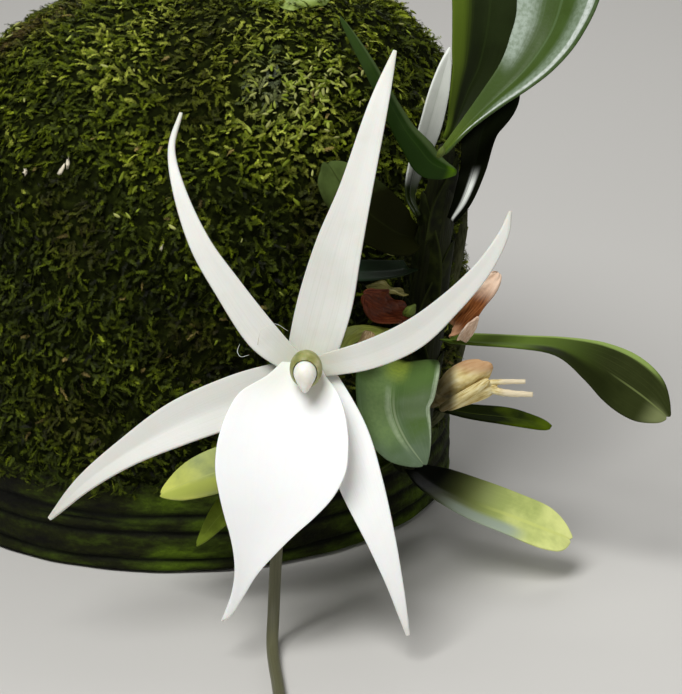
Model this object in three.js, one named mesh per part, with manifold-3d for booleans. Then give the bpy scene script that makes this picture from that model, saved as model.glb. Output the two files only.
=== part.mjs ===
// A small star orchid on a moss-covered clay pot, in millimetres, +Z up.
// The origin is the middle of the pot's foot. -Y is the side that the open flower faces.
import * as THREE from "three";
import { mergeVertices } from "three/addons/utils/BufferGeometryUtils.js";
import Module from "manifold-3d";

const manifold = await Module();
manifold.setup();

// Driving dimensions of the pot, the mix and the moss
const GAP = 0.3;                  // clearance between pieces that touch
const POT_HEIGHT = 48;
const POT_BELLY_RADIUS = 34.2;
const POT_BELLY_HEIGHT = 20;      // the wall is upright up to here, then draws in
const POT_RIM_RADIUS = 30.5;
const POT_WALL = 3.6;
const POT_FLOOR = 4.5;
const RIDGE_HEIGHTS = [2.7, 5.4, 8.1];
const RIDGE_DEPTH = 0.5;
const DRAIN_RADIUS = 2.5;
const DRAIN_RING_RADIUS = 15;
const DRAIN_COUNT = 3;
const DRAIN_SIDES = 16;
const MIX_CROWN = 1.6;            // how far the mix rises in the middle
const POT_SEGMENTS = 40;
const MOSS_SEGMENTS = 48;
const MOSS_FOOT = 9.5;            // the moss leaves a bare band of clay below this
const MOSS_GAP = 0.4;
const MOSS_LUMP = 0.55;

// The moss outline: [height, radius, how far the cushion has slid towards +X]
const MOSS_PROFILE = [
  [MOSS_FOOT, 35.0, 0], [12.5, 36.0, 0], [19, 36.5, 0], [26, 36.8, 0], [33, 36.9, 0.1], [39, 36.5, 0.4],
  [45, 35.3, 1.2], [49, 33.8, 2.2], [53, 31.4, 3.5], [57.8, 27.6, 5.0], [61, 23.6, 6.0], [63.6, 18.8, 6.6],
  [66, 12.0, 6.9], [67.4, 5.0, 7.0],
];
const MOSS_TOP = 67.8;

// Driving dimensions of the plant
const STEM_SIDES = 10;
const ROOT_RADIUS = 1.0;
const ROOT_SIDES = 8;
const ROOT_STEPS = 14;
const LEAF_THICKNESS = 0.75;
const TEPAL_THICKNESS = 0.7;
const BRACT_THICKNESS = 0.6;
const LEAF_STEPS = 12;
const LEAF_ACROSS = 4;
const SPUR_SIDES = 8;
const SPUR_STEPS = 40;

// The flower's own frame: x to its right, y to its top, z out of its face
const FLOWER_CENTRE = [16.4, -52, 32.8];
const FLOWER_TILT = THREE.MathUtils.degToRad(70);

function finish(color, roughness, metalness = 0) {
  return new THREE.MeshStandardMaterial({ color, roughness, metalness });
}

const FINISHES = {
  clay: finish(0x6e5a44, 0.9),
  mix: finish(0x3a2c20, 0.95),
  moss: finish(0x3f5220, 0.95),
  leaf: finish(0x3d5b2a, 0.35),
  stem: finish(0x6b7140, 0.6),
  root: finish(0xa7ab92, 0.7),
  dryBract: finish(0x8a5a3c, 0.8),
  spent: finish(0xbfae84, 0.75),
  petal: finish(0xf1f2ea, 0.5),
  spur: finish(0xc9cdb4, 0.5),
  column: finish(0xc3c896, 0.45),
  anther: finish(0xf6f5ec, 0.4),
};

function lerp(a, b, t) {
  return a + (b - a) * t;
}

// A smooth curve through plain numbers, read at t from 0 to 1.
function smooth(values, t) {
  const last = values.length - 1;
  const place = Math.min(Math.max(t, 0), 1) * last;
  const i = Math.min(Math.floor(place), last - 1);
  const f = place - i;
  const [p1, p2] = [values[i], values[i + 1]];
  const p0 = i > 0 ? values[i - 1] : 2 * p1 - p2;
  const p3 = i + 2 <= last ? values[i + 2] : 2 * p2 - p1;
  const [m1, m2] = [(p2 - p0) / 2, (p3 - p1) / 2];
  return (2 * f ** 3 - 3 * f ** 2 + 1) * p1 + (f ** 3 - 2 * f ** 2 + f) * m1
    + (3 * f ** 2 - 2 * f ** 3) * p2 + (f ** 3 - f ** 2) * m2;
}

function smoothPoint(points, t) {
  return new THREE.Vector3(...[0, 1, 2].map((axis) => smooth(points.map((p) => p[axis]), t)));
}

function smoothTangent(points, t) {
  const step = 0.01;
  const ahead = smoothPoint(points, Math.min(t + step, 1));
  return ahead.sub(smoothPoint(points, Math.max(t - step, 0))).normalize();
}

function geometryFrom(vertices, triangles) {
  const geometry = new THREE.BufferGeometry();
  const numbers = vertices.flatMap((v) => v.toArray());
  geometry.setAttribute("position", new THREE.Float32BufferAttribute(numbers, 3));
  geometry.setIndex(triangles.flat());
  return geometry;
}

// Join closed loops of points, first to last, into one solid with its two ends closed by fans.
function loft(loops) {
  const sides = loops[0].length;
  const vertices = loops.flat();
  const triangles = [];
  for (let row = 0; row + 1 < loops.length; row += 1) {
    for (let k = 0; k < sides; k += 1) {
      const next = (k + 1) % sides;
      const [a, b] = [row * sides + k, row * sides + next];
      triangles.push([a, b, b + sides], [a, b + sides, a + sides]);
    }
  }
  for (const [row, flip] of [[0, true], [loops.length - 1, false]]) {
    const middle = new THREE.Vector3();
    loops[row].forEach((v) => middle.addScaledVector(v, 1 / sides));
    const hub = vertices.push(middle) - 1;
    for (let k = 0; k < sides; k += 1) {
      const [a, b] = [row * sides + k, row * sides + ((k + 1) % sides)];
      triangles.push(flip ? [hub, b, a] : [hub, a, b]);
    }
  }
  return geometryFrom(vertices, triangles);
}

// A round tube through points, with its radius read along it.
function tube(points, radii, sides, steps) {
  const loops = [];
  let side = new THREE.Vector3(1, 0.2, 0.1);
  for (let i = 0; i <= steps; i += 1) {
    const t = i / steps;
    const tangent = smoothTangent(points, t);
    side = side.clone().addScaledVector(tangent, -side.dot(tangent)).normalize();
    const up = tangent.clone().cross(side);
    const centre = smoothPoint(points, t);
    const radius = smooth(radii, t);
    loops.push(Array.from({ length: sides }, (_, k) => {
      const angle = (2 * Math.PI * k) / sides;
      return centre.clone()
        .addScaledVector(side, radius * Math.cos(angle))
        .addScaledVector(up, radius * Math.sin(angle));
    }));
  }
  return loft(loops);
}

// A leaf, sepal, petal, lip or bract: a thin blade carried by stations [x, y, z, width] from base to tip.
// The faces say where its upper side looks, from base to tip. Its margins rise to that side by the fold, in
// degrees at the base, the middle and the tip. A keel of 1 folds it sharply along the midrib, 0 troughs it.
// Two lobes, in mm, lengthen the left and right halves of a notched tip. A level blade keeps its width along
// one direction all the way, instead of square to its midrib.
function blade({
  stations, faces = [[0, 0, 1], [0, 0, 1]], fold = [0, 0, 0], keel = 0.5, lobes = [0, 0], wave = 0, level,
  thickness = LEAF_THICKNESS, steps = LEAF_STEPS, across = LEAF_ACROSS,
}) {
  const widths = stations.map((s) => s[3]);
  const [upper, lower] = [[], []];
  for (let i = 0; i <= steps; i += 1) {
    const t = i / steps;
    const tangent = smoothTangent(stations, t);
    const square = tangent.clone().cross(smoothPoint(faces, t)).normalize();
    const side = level ? new THREE.Vector3(...level) : square;
    const face = side.clone().cross(tangent).normalize();
    const centre = smoothPoint(stations, t);
    const half = Math.max(smooth(widths, t), 0.5) / 2;
    const rise = Math.tan(THREE.MathUtils.degToRad(smooth(fold, t)));
    for (let j = 0; j <= across; j += 1) {
      const v = (2 * j) / across - 1;
      const reach = Math.abs(v);
      const ripple = wave * reach ** 2 * Math.sin(9 * t + 2 * v);
      const height = half * rise * (keel * reach + (1 - keel) * reach ** 2) + ripple * Math.sin(Math.PI * t);
      const slope = v === 0 ? 0 : Math.sign(v) * rise * (keel + 2 * (1 - keel) * reach);
      const normal = face.clone().addScaledVector(side, -slope).normalize();
      const advance = t ** 6 * Math.sin(Math.PI * reach) * (v < 0 ? lobes[0] : lobes[1]);
      const point = centre.clone()
        .addScaledVector(side, half * v)
        .addScaledVector(face, height)
        .addScaledVector(tangent, advance);
      upper.push(point.clone().addScaledVector(normal, thickness / 2));
      lower.push(point.clone().addScaledVector(normal, -thickness / 2));
    }
  }
  return geometryFrom([...upper, ...lower], bladeTriangles(steps, across, upper.length));
}

// Both faces of a blade are split alike, and its rim is closed by a strip.
function bladeTriangles(steps, across, shift) {
  const at = (i, j) => i * (across + 1) + j;
  const triangles = [];
  for (let i = 0; i < steps; i += 1) {
    for (let j = 0; j < across; j += 1) {
      const [a, b, c, d] = [at(i, j), at(i, j + 1), at(i + 1, j + 1), at(i + 1, j)];
      triangles.push([a, b, c], [a, c, d]);
      triangles.push([c + shift, b + shift, a + shift], [d + shift, c + shift, a + shift]);
    }
  }
  const rim = [];
  for (let j = 0; j < across; j += 1) rim.push(at(0, j));
  for (let i = 0; i < steps; i += 1) rim.push(at(i, across));
  for (let j = across; j > 0; j -= 1) rim.push(at(steps, j));
  for (let i = steps; i > 0; i -= 1) rim.push(at(i, 0));
  rim.forEach((a, k) => {
    const b = rim[(k + 1) % rim.length];
    triangles.push([a, a + shift, b + shift], [a, b + shift, b]);
  });
  return triangles;
}

// Solids for joining and cutting
function toSolid(geometry) {
  const bare = geometry.clone();
  bare.deleteAttribute("normal");
  bare.deleteAttribute("uv");
  const merged = mergeVertices(bare, 1e-4);
  const index = merged.index.array;
  const kept = [];
  for (let k = 0; k < index.length; k += 3) {
    const [a, b, c] = [index[k], index[k + 1], index[k + 2]];
    if (a !== b && b !== c && c !== a) kept.push(a, b, c);
  }
  return new manifold.Manifold(new manifold.Mesh({
    numProp: 3,
    vertProperties: new Float32Array(merged.attributes.position.array),
    triVerts: new Uint32Array(kept),
  }));
}

function toGeometry(solid) {
  const mesh = solid.getMesh();
  const geometry = new THREE.BufferGeometry();
  geometry.setAttribute("position", new THREE.BufferAttribute(new Float32Array(mesh.vertProperties), 3));
  geometry.setIndex(new THREE.BufferAttribute(new Uint32Array(mesh.triVerts), 1));
  return geometry;
}

function turned(profile, segments) {
  const points = profile.map(([radius, height]) => new THREE.Vector2(radius, height));
  return new THREE.LatheGeometry(points, segments).rotateX(Math.PI / 2);
}

function potRadius(height) {
  const above = Math.max(height - POT_BELLY_HEIGHT, 0) / (POT_HEIGHT - POT_BELLY_HEIGHT);
  return lerp(POT_BELLY_RADIUS, POT_RIM_RADIUS, above ** 2);
}

function wallHeights(from, to, count) {
  return Array.from({ length: count + 1 }, (_, i) => lerp(from, to, i / count));
}

// Clay pot: a turned vessel with ridges round its foot and drain holes off the middle
function potGeometry() {
  const bevel = 0.8;
  const outer = [[0, 0], [potRadius(0) - bevel, 0], [potRadius(0), bevel]];
  for (const height of RIDGE_HEIGHTS) {
    outer.push([potRadius(height), height - 0.6], [potRadius(height) - RIDGE_DEPTH, height]);
    outer.push([potRadius(height), height + 0.4]);
  }
  const wall = wallHeights(12, POT_HEIGHT, 5);
  const outside = wall.map((height) => [potRadius(height), height]);
  const inside = [...wallHeights(POT_FLOOR, POT_HEIGHT, 5)].reverse()
    .map((height) => [potRadius(height) - POT_WALL, height]);
  let pot = toSolid(turned([...outer, ...outside, ...inside, [0, POT_FLOOR]], POT_SEGMENTS));
  for (let k = 0; k < DRAIN_COUNT; k += 1) {
    const angle = (2 * Math.PI * (k + 0.25)) / DRAIN_COUNT;
    const hole = new THREE.CylinderGeometry(DRAIN_RADIUS, DRAIN_RADIUS, 4 * POT_FLOOR, DRAIN_SIDES);
    hole.rotateX(Math.PI / 2);
    hole.translate(DRAIN_RING_RADIUS * Math.cos(angle), DRAIN_RING_RADIUS * Math.sin(angle), 0);
    pot = pot.subtract(toSolid(hole));
  }
  return toGeometry(pot);
}

// Potting mix: fills the pot and rises a little in the middle
function mixTop(radius) {
  return POT_HEIGHT - 1 + MIX_CROWN * (1 - (radius / POT_RIM_RADIUS) ** 2);
}

function mixGeometry() {
  const bottom = POT_FLOOR + GAP;
  const side = wallHeights(bottom, POT_HEIGHT - 1, 5)
    .map((height) => [potRadius(height) - POT_WALL - GAP, height]);
  const mouth = side[side.length - 1][0];
  const crown = [0.66, 0.33].map((share) => [share * mouth, mixTop(share * mouth)]);
  return turned([[0, bottom], ...side, ...crown, [0, mixTop(0)]], POT_SEGMENTS);
}

// Moss: one grown cap over the wall and the top, with lumps and creases raised by a formula
function mossLump(angle, height) {
  const swirl = 1.4 * Math.sin(2 * angle);
  const broad = Math.sin(5 * angle + 0.9 + 0.05 * height) * Math.sin(0.33 * height + swirl);
  const fine = Math.sin(11 * angle - 0.4 + 0.11 * height) * Math.cos(0.52 * height - 1.1);
  const crease = Math.exp(-(((height - 31 - 5 * Math.sin(angle * 2 + 1)) / 2.2) ** 2));
  return MOSS_LUMP * (broad + 0.6 * fine - 1.1 * crease);
}

function mossRow(height) {
  const heights = MOSS_PROFILE.map((row) => row[0]);
  let i = 0;
  while (i + 2 < heights.length && height > heights[i + 1]) i += 1;
  const share = (height - heights[i]) / (heights[i + 1] - heights[i]);
  return [1, 2].map((column) => lerp(MOSS_PROFILE[i][column], MOSS_PROFILE[i + 1][column], share));
}

function mossGeometry(cuts) {
  const outer = MOSS_PROFILE.map(([height, radius]) => [radius, height]);
  const rim = [potRadius(POT_HEIGHT) + MOSS_GAP, POT_HEIGHT + MOSS_GAP];
  const inside = wallHeights(MOSS_FOOT, POT_HEIGHT, 5)
    .map((height) => [potRadius(height) + MOSS_GAP, height]);
  const mouth = POT_RIM_RADIUS - POT_WALL;
  const crown = [1, 0.66, 0.33, 0].map((share) => [share * mouth, mixTop(share * mouth) + 1 + GAP]);
  const profile = [...inside, rim, ...crown];
  const shell = turned([[0, profile[profile.length - 1][1]], ...profile.slice(0, -1).reverse(),
    ...outer, [0, MOSS_TOP]], MOSS_SEGMENTS);
  const position = shell.attributes.position;
  for (let k = 0; k < position.count; k += 1) {
    const [x, y, z] = [position.getX(k), position.getY(k), position.getZ(k)];
    const radius = Math.hypot(x, y);
    if (!outer.some(([r, h]) => Math.abs(r - radius) < 1e-3 && Math.abs(h - z) < 1e-3)) continue;
    const angle = Math.atan2(y, x);
    const [, slide] = mossRow(z);
    const foot = Math.min((z - MOSS_FOOT) / 6, 1);
    const grown = 1 + (foot * mossLump(angle, z)) / radius;
    position.setXYZ(k, x * grown + slide, y * grown, z + 0.4 * foot * mossLump(angle + 1, z));
  }
  return toGeometry(cuts.reduce((moss, cut) => moss.subtract(cut), toSolid(shell)));
}

// A point on the moss, raised by so much
function onMoss(degrees, height, raised) {
  const angle = THREE.MathUtils.degToRad(degrees);
  const [radius, slide] = mossRow(height);
  const reach = radius + mossLump(angle, height) + raised;
  return [reach * Math.cos(angle) + slide, reach * Math.sin(angle), height];
}

// Stem: short, upright and leaning out of the moss, ringed by old sheaths
const STEM_POINTS = [
  [28.6, -23.0, 9.5], [29.3, -24.6, 16.5], [30.1, -25.6, 23.5], [30.7, -26.6, 30.3], [31.2, -27.8, 37.0],
  [31.8, -29.2, 43.6], [32.4, -30.6, 49.0], [32.8, -32.0, 53.2],
];
const STEM_RADII = [1.6, 2.1, 2.2, 2.2, 2.1, 1.9, 1.6, 1.0];
const STEM_STEPS = 20;
const SHEATH_STEP = 3;            // every third ring starts a new sheath
const SHEATH_FLARE = 0.16;

function stemGeometry(extra = 0) {
  const radii = Array.from({ length: STEM_STEPS + 1 }, (_, i) => {
    const flare = SHEATH_FLARE * (1 - (i % SHEATH_STEP) / SHEATH_STEP);
    return smooth(STEM_RADII, i / STEM_STEPS) * (1 + flare) + extra;
  });
  return tube(STEM_POINTS, radii, STEM_SIDES, STEM_STEPS);
}

// Roots: each leaves the stem's foot and runs half sunk in the moss, [degrees round the pot, height]
const ROOTS = {
  root_1: [[-35, 12.8], [-25, 13.6], [-11, 16.5], [6, 21], [23, 23], [38, 27]],
  root_2: [[-43.5, 24], [-49, 27], [-57, 29], [-66, 28], [-74, 25]],
  root_3: [[-37, 23.8], [-26, 25.5], [-11, 32], [1, 36], [14, 37]],
};

function rootGeometry(places, extra = 0) {
  const points = places.map(([degrees, height]) => onMoss(degrees, height, 0.1));
  const radii = [0.8, 1, 1, 0.9, 0.6].map((share) => share * ROOT_RADIUS + extra);
  return tube(points, radii, ROOT_SIDES, ROOT_STEPS);
}

// Leaves from the top of the stem down
const LEAVES = {
  leaf_01: {
    stations: [[32.8, -29.8, 53.6, 1.2], [33.6, -29.5, 54.9, 2.0], [34.4, -28.8, 56.9, 3.4],
      [35.4, -28.2, 59.4, 5.2], [36.5, -27.9, 61.9, 7.2], [37.2, -27.7, 64.9, 8.6], [37.7, -27.4, 68.4, 9.6],
      [37.8, -26.7, 72.8, 9.6], [37.7, -25.8, 77.4, 6.0]],
    faces: [[0.2, -1, 0], [0.2, -0.9, 0.1]], fold: [35, 24, 16], keel: 0.8, lobes: [1.6, 0.8],
  },
  leaf_02: {
    stations: [[32.4, -34.0, 53.2, 1.0], [33.7, -33.8, 54.7, 1.3], [35.5, -33.6, 56.7, 1.9],
      [38.5, -33.3, 59.6, 3.5], [41.2, -32.9, 62.1, 5.4], [43.3, -32.4, 64.6, 7.5], [45.1, -31.6, 67.6, 9.2],
      [46.3, -30.6, 71.5, 10.8], [47.0, -29.5, 75.8, 9.8], [47.3, -28.3, 79.7, 5.6]],
    faces: [[-0.6, -0.7, 0.4], [-0.5, -0.8, 0.4]], fold: [35, 22, 12], keel: 0.7, lobes: [1.4, 0.8],
  },
  leaf_03: {
    stations: [[33.5, -32.5, 44.6, 1.2], [34.9, -33.0, 47.3, 2.4], [36.2, -31.3, 50.5, 3.3],
      [37.3, -28.0, 54.2, 4.6], [39.5, -26.0, 57.2, 4.6], [40.6, -25.0, 59.6, 2.8]],
    faces: [[-0.4, -0.8, 0.3], [-0.4, -0.8, 0.3]], fold: [20, 20, 15], keel: 0.7, lobes: [1.0, 0.5],
  },
  leaf_04: {
    stations: [[29.5, -31.2, 44.6, 0.8], [28.5, -29.5, 46.6, 1.3], [29.1, -29.0, 50.1, 2.3],
      [30.4, -30.2, 54.8, 3.1], [31.4, -31.5, 59.1, 2.9], [32.2, -32.3, 62.4, 2.0], [33.0, -32.9, 65.5, 0.5]],
    faces: [[0.5, -0.7, 0.3], [0.4, -0.8, 0.3]], fold: [35, 25, 15], keel: 0.7,
  },
  leaf_05: {
    stations: [[33.9, -34.4, 51.0, 0.7], [32.2, -35.3, 51.7, 2.6], [30.7, -36.1, 52.8, 3.6],
      [29.3, -36.9, 54.8, 3.1], [27.9, -37.5, 56.8, 2.5], [26.5, -38.0, 59.4, 2.1], [24.9, -38.2, 62.5, 1.7],
      [22.9, -38.4, 66.2, 1.3], [20.5, -38.0, 70.1, 0.7]],
    faces: [[0.1, -0.9, 0.4], [0.1, -0.9, 0.4]], fold: [-20, -30, -20], keel: 0.9, lobes: [0.3, 0.8],
  },
  leaf_06: {
    stations: [[29.1, -31.0, 41.8, 2.8], [27.0, -34.0, 43.4, 5.6], [23.9, -36.5, 46.4, 7.2],
      [20.9, -37.5, 49.8, 6.4], [19.0, -36.5, 52.5, 3.6]],
    faces: [[0.2, -0.8, 0.5], [0.3, -0.8, 0.4]], fold: [30, 18, 8], keel: 0.7, lobes: [1.2, 0.5],
  },
  leaf_07: {
    stations: [[28.6, -29.6, 37.4, 2.4], [26.4, -32.4, 38.0, 3.2], [23.0, -35.0, 38.8, 3.4],
      [19.8, -36.0, 39.2, 2.2]],
    faces: [[0, -0.4, 0.9], [0, -0.5, 0.8]], fold: [30, 20, 10], keel: 0.7, lobes: [0.6, 0.3],
  },
  leaf_08: {
    stations: [[33.4, -28.2, 27.8, 2.6], [36.4, -31.0, 28.6, 2.8], [41.8, -33.6, 29.3, 2.8],
      [46.3, -35.6, 29.6, 3.1], [50.1, -36.6, 28.2, 5.7], [53.2, -37.2, 26.3, 7.4], [56.2, -37.6, 24.2, 6.8],
      [59.0, -38.0, 21.9, 3.6]],
    faces: [[0, -0.1, 1], [0, -0.2, 1], [0.3, -0.6, 0.7], [0.5, -0.8, 0.4], [0.5, -0.9, 0.3]],
    fold: [30, 14, 8], keel: 0.7, lobes: [0.8, 0.4],
  },
  leaf_09: {
    stations: [[29.5, -28.75, 25.0, 2.6], [28.2, -34.0, 27.1, 5.6], [27.3, -39.6, 28.2, 9.2],
      [26.6, -43.4, 27.0, 9.4], [26.7, -45.4, 25.0, 8.4], [27.9, -46.6, 22.5, 6.8], [30.0, -46.6, 19.4, 2.8]],
    faces: [[0.1, 0, 1], [0.15, 0, 1], [0.1, -0.9, 0.4], [0.1, -1, 0.1]], fold: [20, 18, 10], keel: 0.7,
    lobes: [0.7, 0.4], wave: 0.4,
  },
  leaf_10: {
    stations: [[32.6, -26.0, 18.2, 2.2], [36.2, -28.5, 18.4, 3.6], [41.0, -30.0, 18.4, 4.0],
      [45.8, -30.2, 17.5, 2.2]],
    faces: [[0, -0.1, 1], [0.2, -0.2, 1]], fold: [25, 14, 8], keel: 0.7, lobes: [0.6, 0.3],
  },
  leaf_11: {
    stations: [[29.5, -25.3, 9.8, 2.2], [31.9, -30.4, 10.0, 4.6], [36.4, -34.0, 9.1, 6.0],
      [40.9, -35.5, 7.9, 6.2], [45.0, -36.0, 6.4, 6.0], [48.1, -35.4, 4.9, 3.8]],
    faces: [[0, -0.5, 0.9], [0.2, -0.6, 0.8]], fold: [30, 18, 8], keel: 0.7, lobes: [0.9, 0.4],
  },
  leaf_12: {
    stations: [[26.4, -27.4, 14.8, 2.6], [21.4, -34.3, 16.2, 5.2], [15.6, -39.2, 17.2, 6.2],
      [9.5, -42.6, 17.6, 6.2], [3.9, -44.0, 16.4, 5.3], [-0.5, -43.5, 14.3, 2.2]],
    faces: [[0, -0.5, 0.9], [-0.1, -0.7, 0.7]], fold: [30, 18, 8], keel: 0.7, lobes: [0.8, 0.4],
  },
  leaf_13: {
    stations: [[25.8, -27.2, 11.8, 2.4], [20.4, -34.4, 12.2, 4.4], [14.4, -40.0, 13.3, 4.8],
      [8.0, -43.2, 12.9, 3.8], [3.6, -44.4, 8.3, 1.2]],
    faces: [[0, -0.5, 0.9], [-0.3, -0.7, 0.6]], fold: [30, 18, 8], keel: 0.7, lobes: [0.7, 0.3],
  },
};

// Dry bracts and the torn rim of an old sheath
const BRACTS = {
  bract_brown: {
    stations: [[28.2, -31.8, 32.6, 2.4], [26.4, -34.6, 33.8, 3.2], [24.5, -37.0, 35.4, 4.0],
      [23.0, -38.0, 37.1, 2.4]],
    faces: [[0.3, -0.7, 0.6], [0.5, -0.7, 0.4]], fold: [30, 25, 15], keel: 0.2, wave: 0.5,
  },
  bract_pale: {
    stations: [[22.6, -45.7, 32.3, 1.2], [23.2, -44.7, 33.6, 1.6], [23.8, -43.5, 34.6, 1.4]],
    faces: [[-0.3, -0.9, 0.3], [-0.3, -0.9, 0.3]], fold: [-25, -25, -10], keel: 0.2,
  },
  bract_pink: {
    stations: [[34.0, -30.6, 30.2, 2.2], [34.7, -32.6, 31.9, 3.0], [36.0, -34.6, 34.6, 3.6],
      [37.5, -35.4, 37.0, 3.0], [39.0, -35.4, 39.0, 1.4]],
    faces: [[-0.5, -0.6, 0.5], [-0.3, -0.9, 0.3]], fold: [35, 25, 10], keel: 0.3, wave: 0.3,
  },
  bract_flap: {
    stations: [[34.8, -34.6, 30.3, 1.2], [35.6, -36.0, 32.2, 1.4], [36.6, -37.1, 34.1, 0.4]],
    faces: [[0.2, -0.9, 0.4], [0.3, -0.9, 0.2]], fold: [20, 15, 5], keel: 0.2,
  },
  sheath_rim: {
    stations: [[28.0, -30.7, 34.8, 1.1], [26.6, -32.4, 35.6, 1.3], [25.2, -33.9, 36.7, 1.2],
      [23.5, -35.0, 37.1, 0.8]],
    faces: [[0, -0.6, 0.8], [0, -0.5, 0.9]], fold: [30, 30, 10], keel: 0.1, wave: 0.3,
  },
};

// Flower stalk with its ovary, from the back of the flower to the stem
const STALK_POINTS = [
  [17.1, -47.1, 31.7], [19.4, -45.8, 32.4], [21.0, -43.8, 33.8], [22.8, -40.6, 33.4], [25.2, -36.6, 31.8],
  [27.6, -32.6, 30.2], [29.4, -29.6, 29.6],
];
const STALK_RADII = [1.15, 1.2, 1.1, 0.9, 0.8, 0.8, 0.9];

// Spur: hangs behind the lip, meets the surface and lies along it
const SPUR_POINTS = [
  [15.9, -48.4, 29.2], [15.0, -48.8, 25.5], [13.9, -49.8, 19.5], [13.2, -50.8, 13.5], [12.9, -51.8, 8.5],
  [12.7, -53.6, 4.2], [12.6, -57.0, 1.6], [12.9, -61.5, 0.9], [13.5, -67.5, 0.8], [14.0, -75.0, 0.8],
  [13.6, -83.0, 0.8], [11.6, -91.0, 0.8], [8.0, -98.0, 0.8],
];
const SPUR_RADII = [1.0, 0.85, 0.75, 0.72, 0.7, 0.7, 0.7, 0.7, 0.7, 0.7, 0.68, 0.62, 0.4];

// Spent flower: a shrivelled stalk and bud with four withered strips, grown in one
const SPENT_STALK = [
  [31.5, -27.9, 20.0], [33.0, -31.6, 22.6], [34.9, -35.0, 25.8], [36.6, -37.0, 27.2], [37.9, -37.8, 27.5],
];
const SPENT_RADII = [0.9, 1.4, 1.9, 1.5, 0.6];
const SPENT_STRIPS = [
  [[35.7, -37.4, 26.7], [38.5, -38.4, 26.7], [42.1, -38.6, 26.6]],
  [[35.7, -37.4, 25.7], [39.0, -38.6, 25.7], [43.1, -38.6, 25.2]],
  [[38.0, -38.6, 26.6], [35.1, -38.4, 24.5], [32.4, -37.2, 22.5]],
  [[36.0, -37.4, 25.9], [38.0, -37.4, 25.3], [39.4, -37.0, 24.9]],
];
const STRIP_RADII = [0.8, 0.7, 0.45];

// Sepals, petals and lip, in the flower's own frame
const LIP_ROWS = [                // height, left margin, right margin and how far forward, from base to tip
  [-0.6, -4.3, 2.3, -1.3], [-2.4, -7.2, 3.6, -0.75], [-4.6, -8.65, 4.45, -0.2], [-6.9, -9.5, 4.85, 0.2],
  [-9.1, -9.95, 4.9, 0.5], [-11.4, -10.0, 4.6, 0.7], [-13.9, -9.55, 3.3, 0.75], [-16.2, -9.0, 1.2, 0.6],
  [-18.4, -8.4, -1.25, 0.35], [-20.7, -8.0, -3.5, 0], [-22.9, -7.95, -5.4, -0.5], [-25.2, -8.35, -6.8, -1.2],
  [-27.4, -9.15, -8.15, -2.0], [-28.3, -9.55, -9.05, -2.4],
];
const TEPALS = {
  sepal_dorsal: {
    stations: [[0.6, 1.5, -3.5, 5.4], [2.2, 7.5, -2.1, 6.2], [3.8, 14.0, -0.4, 5.3], [5.8, 20.7, 0.4, 3.7],
      [8.2, 29.7, 0.2, 2.3], [10.2, 36.4, -1.4, 0.8]],
    fold: [8, 10, 4], keel: 0.3,
  },
  sepal_left: {
    stations: [[-2.3, -0.9, -3.3, 4.2], [-7.5, -3.1, -1.9, 5.6], [-14.1, -5.8, -0.9, 5.1],
      [-20, -9.1, -0.4, 3.3], [-25, -12.7, -0.6, 2.0], [-29, -16.7, -1.6, 0.8]],
    faces: [[0, 0, 1], [0.1, 0.3, 1]], fold: [6, 10, 12], keel: 0.5,
  },
  sepal_right: {
    stations: [[1.9, -1.5, -3.3, 4.2], [4.4, -7.2, -2.2, 5.5], [6.5, -13.1, -1.4, 4.9], [8.6, -19, -1.0, 3.3],
      [10.3, -24.5, -1.4, 1.8], [11.7, -30, -2.6, 0.7]],
    fold: [6, 10, 6], keel: 0.4,
  },
  petal_left: {
    stations: [[-1.9, 1.4, -2.1, 2.8], [-5, 4.3, -1.0, 3.7], [-8.7, 9.5, 0.2, 3.1], [-11.8, 14.4, 0.6, 2.4],
      [-14.1, 20.2, 0.2, 1.5], [-15.1, 25.2, -0.9, 0.8], [-14.1, 29.4, -2.2, 0.6]],
    fold: [6, 8, 4], keel: 0.3,
  },
  petal_right: {
    stations: [[3, 0.9, -2.1, 2.7], [7.4, 2, -0.9, 3.3], [12.2, 4.2, 0.2, 3.4], [16.4, 7.7, 0.6, 2.6],
      [19.9, 11.4, 0.3, 2.0], [22.3, 15.2, -0.6, 1.3], [23.3, 18.2, -1.6, 0.6]],
    fold: [6, 8, 4], keel: 0.3,
  },
  lip: {
    stations: LIP_ROWS.map(([y, left, right, z]) => [(left + right) / 2, y, z, right - left]),
    level: [-1, 0, 0], fold: [8, 10, 8], keel: 0.1, across: 6, steps: 20,
  },
};

// Column: a short hood over the anther cap, which sits in a pocket of its own shape
const COLUMN_CENTRE = [0.15, 0.35, 1.35];
const COLUMN_RADII = [1.85, 2.15, 2.0];
const ANTHER_CENTRE = [0.05, -0.15, 2.6];
const ANTHER_RADII = [1.3, 1.45, 1.25];
const ANTHER_BEAK = 0.75;         // how much further the cap's lower point reaches

function ball(centre, radii, extra = 0, beak = 0) {
  const geometry = new THREE.SphereGeometry(1, 14, 10);
  const position = geometry.attributes.position;
  for (let k = 0; k < position.count; k += 1) {
    const [x, y, z] = [position.getX(k), position.getY(k), position.getZ(k)];
    const below = Math.max(-y, 0);
    position.setXYZ(k,
      centre[0] + x * (radii[0] + extra) * (1 - 0.35 * beak * below ** 2),
      centre[1] + y * (radii[1] + extra) - beak * below ** 3,
      centre[2] + z * (radii[2] + extra) * (1 - 0.3 * beak * below ** 2));
  }
  return geometry;
}

function columnGeometry() {
  const pocket = toSolid(ball(ANTHER_CENTRE, ANTHER_RADII, GAP, ANTHER_BEAK));
  return toGeometry(toSolid(ball(COLUMN_CENTRE, COLUMN_RADII)).subtract(pocket));
}

function spentGeometry() {
  const strips = SPENT_STRIPS.map((points) => toSolid(tube(points, STRIP_RADII, 6, 5)));
  return toGeometry(strips.reduce((whole, strip) => whole.add(strip),
    toSolid(tube(SPENT_STALK, SPENT_RADII, 8, 10))));
}

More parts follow.
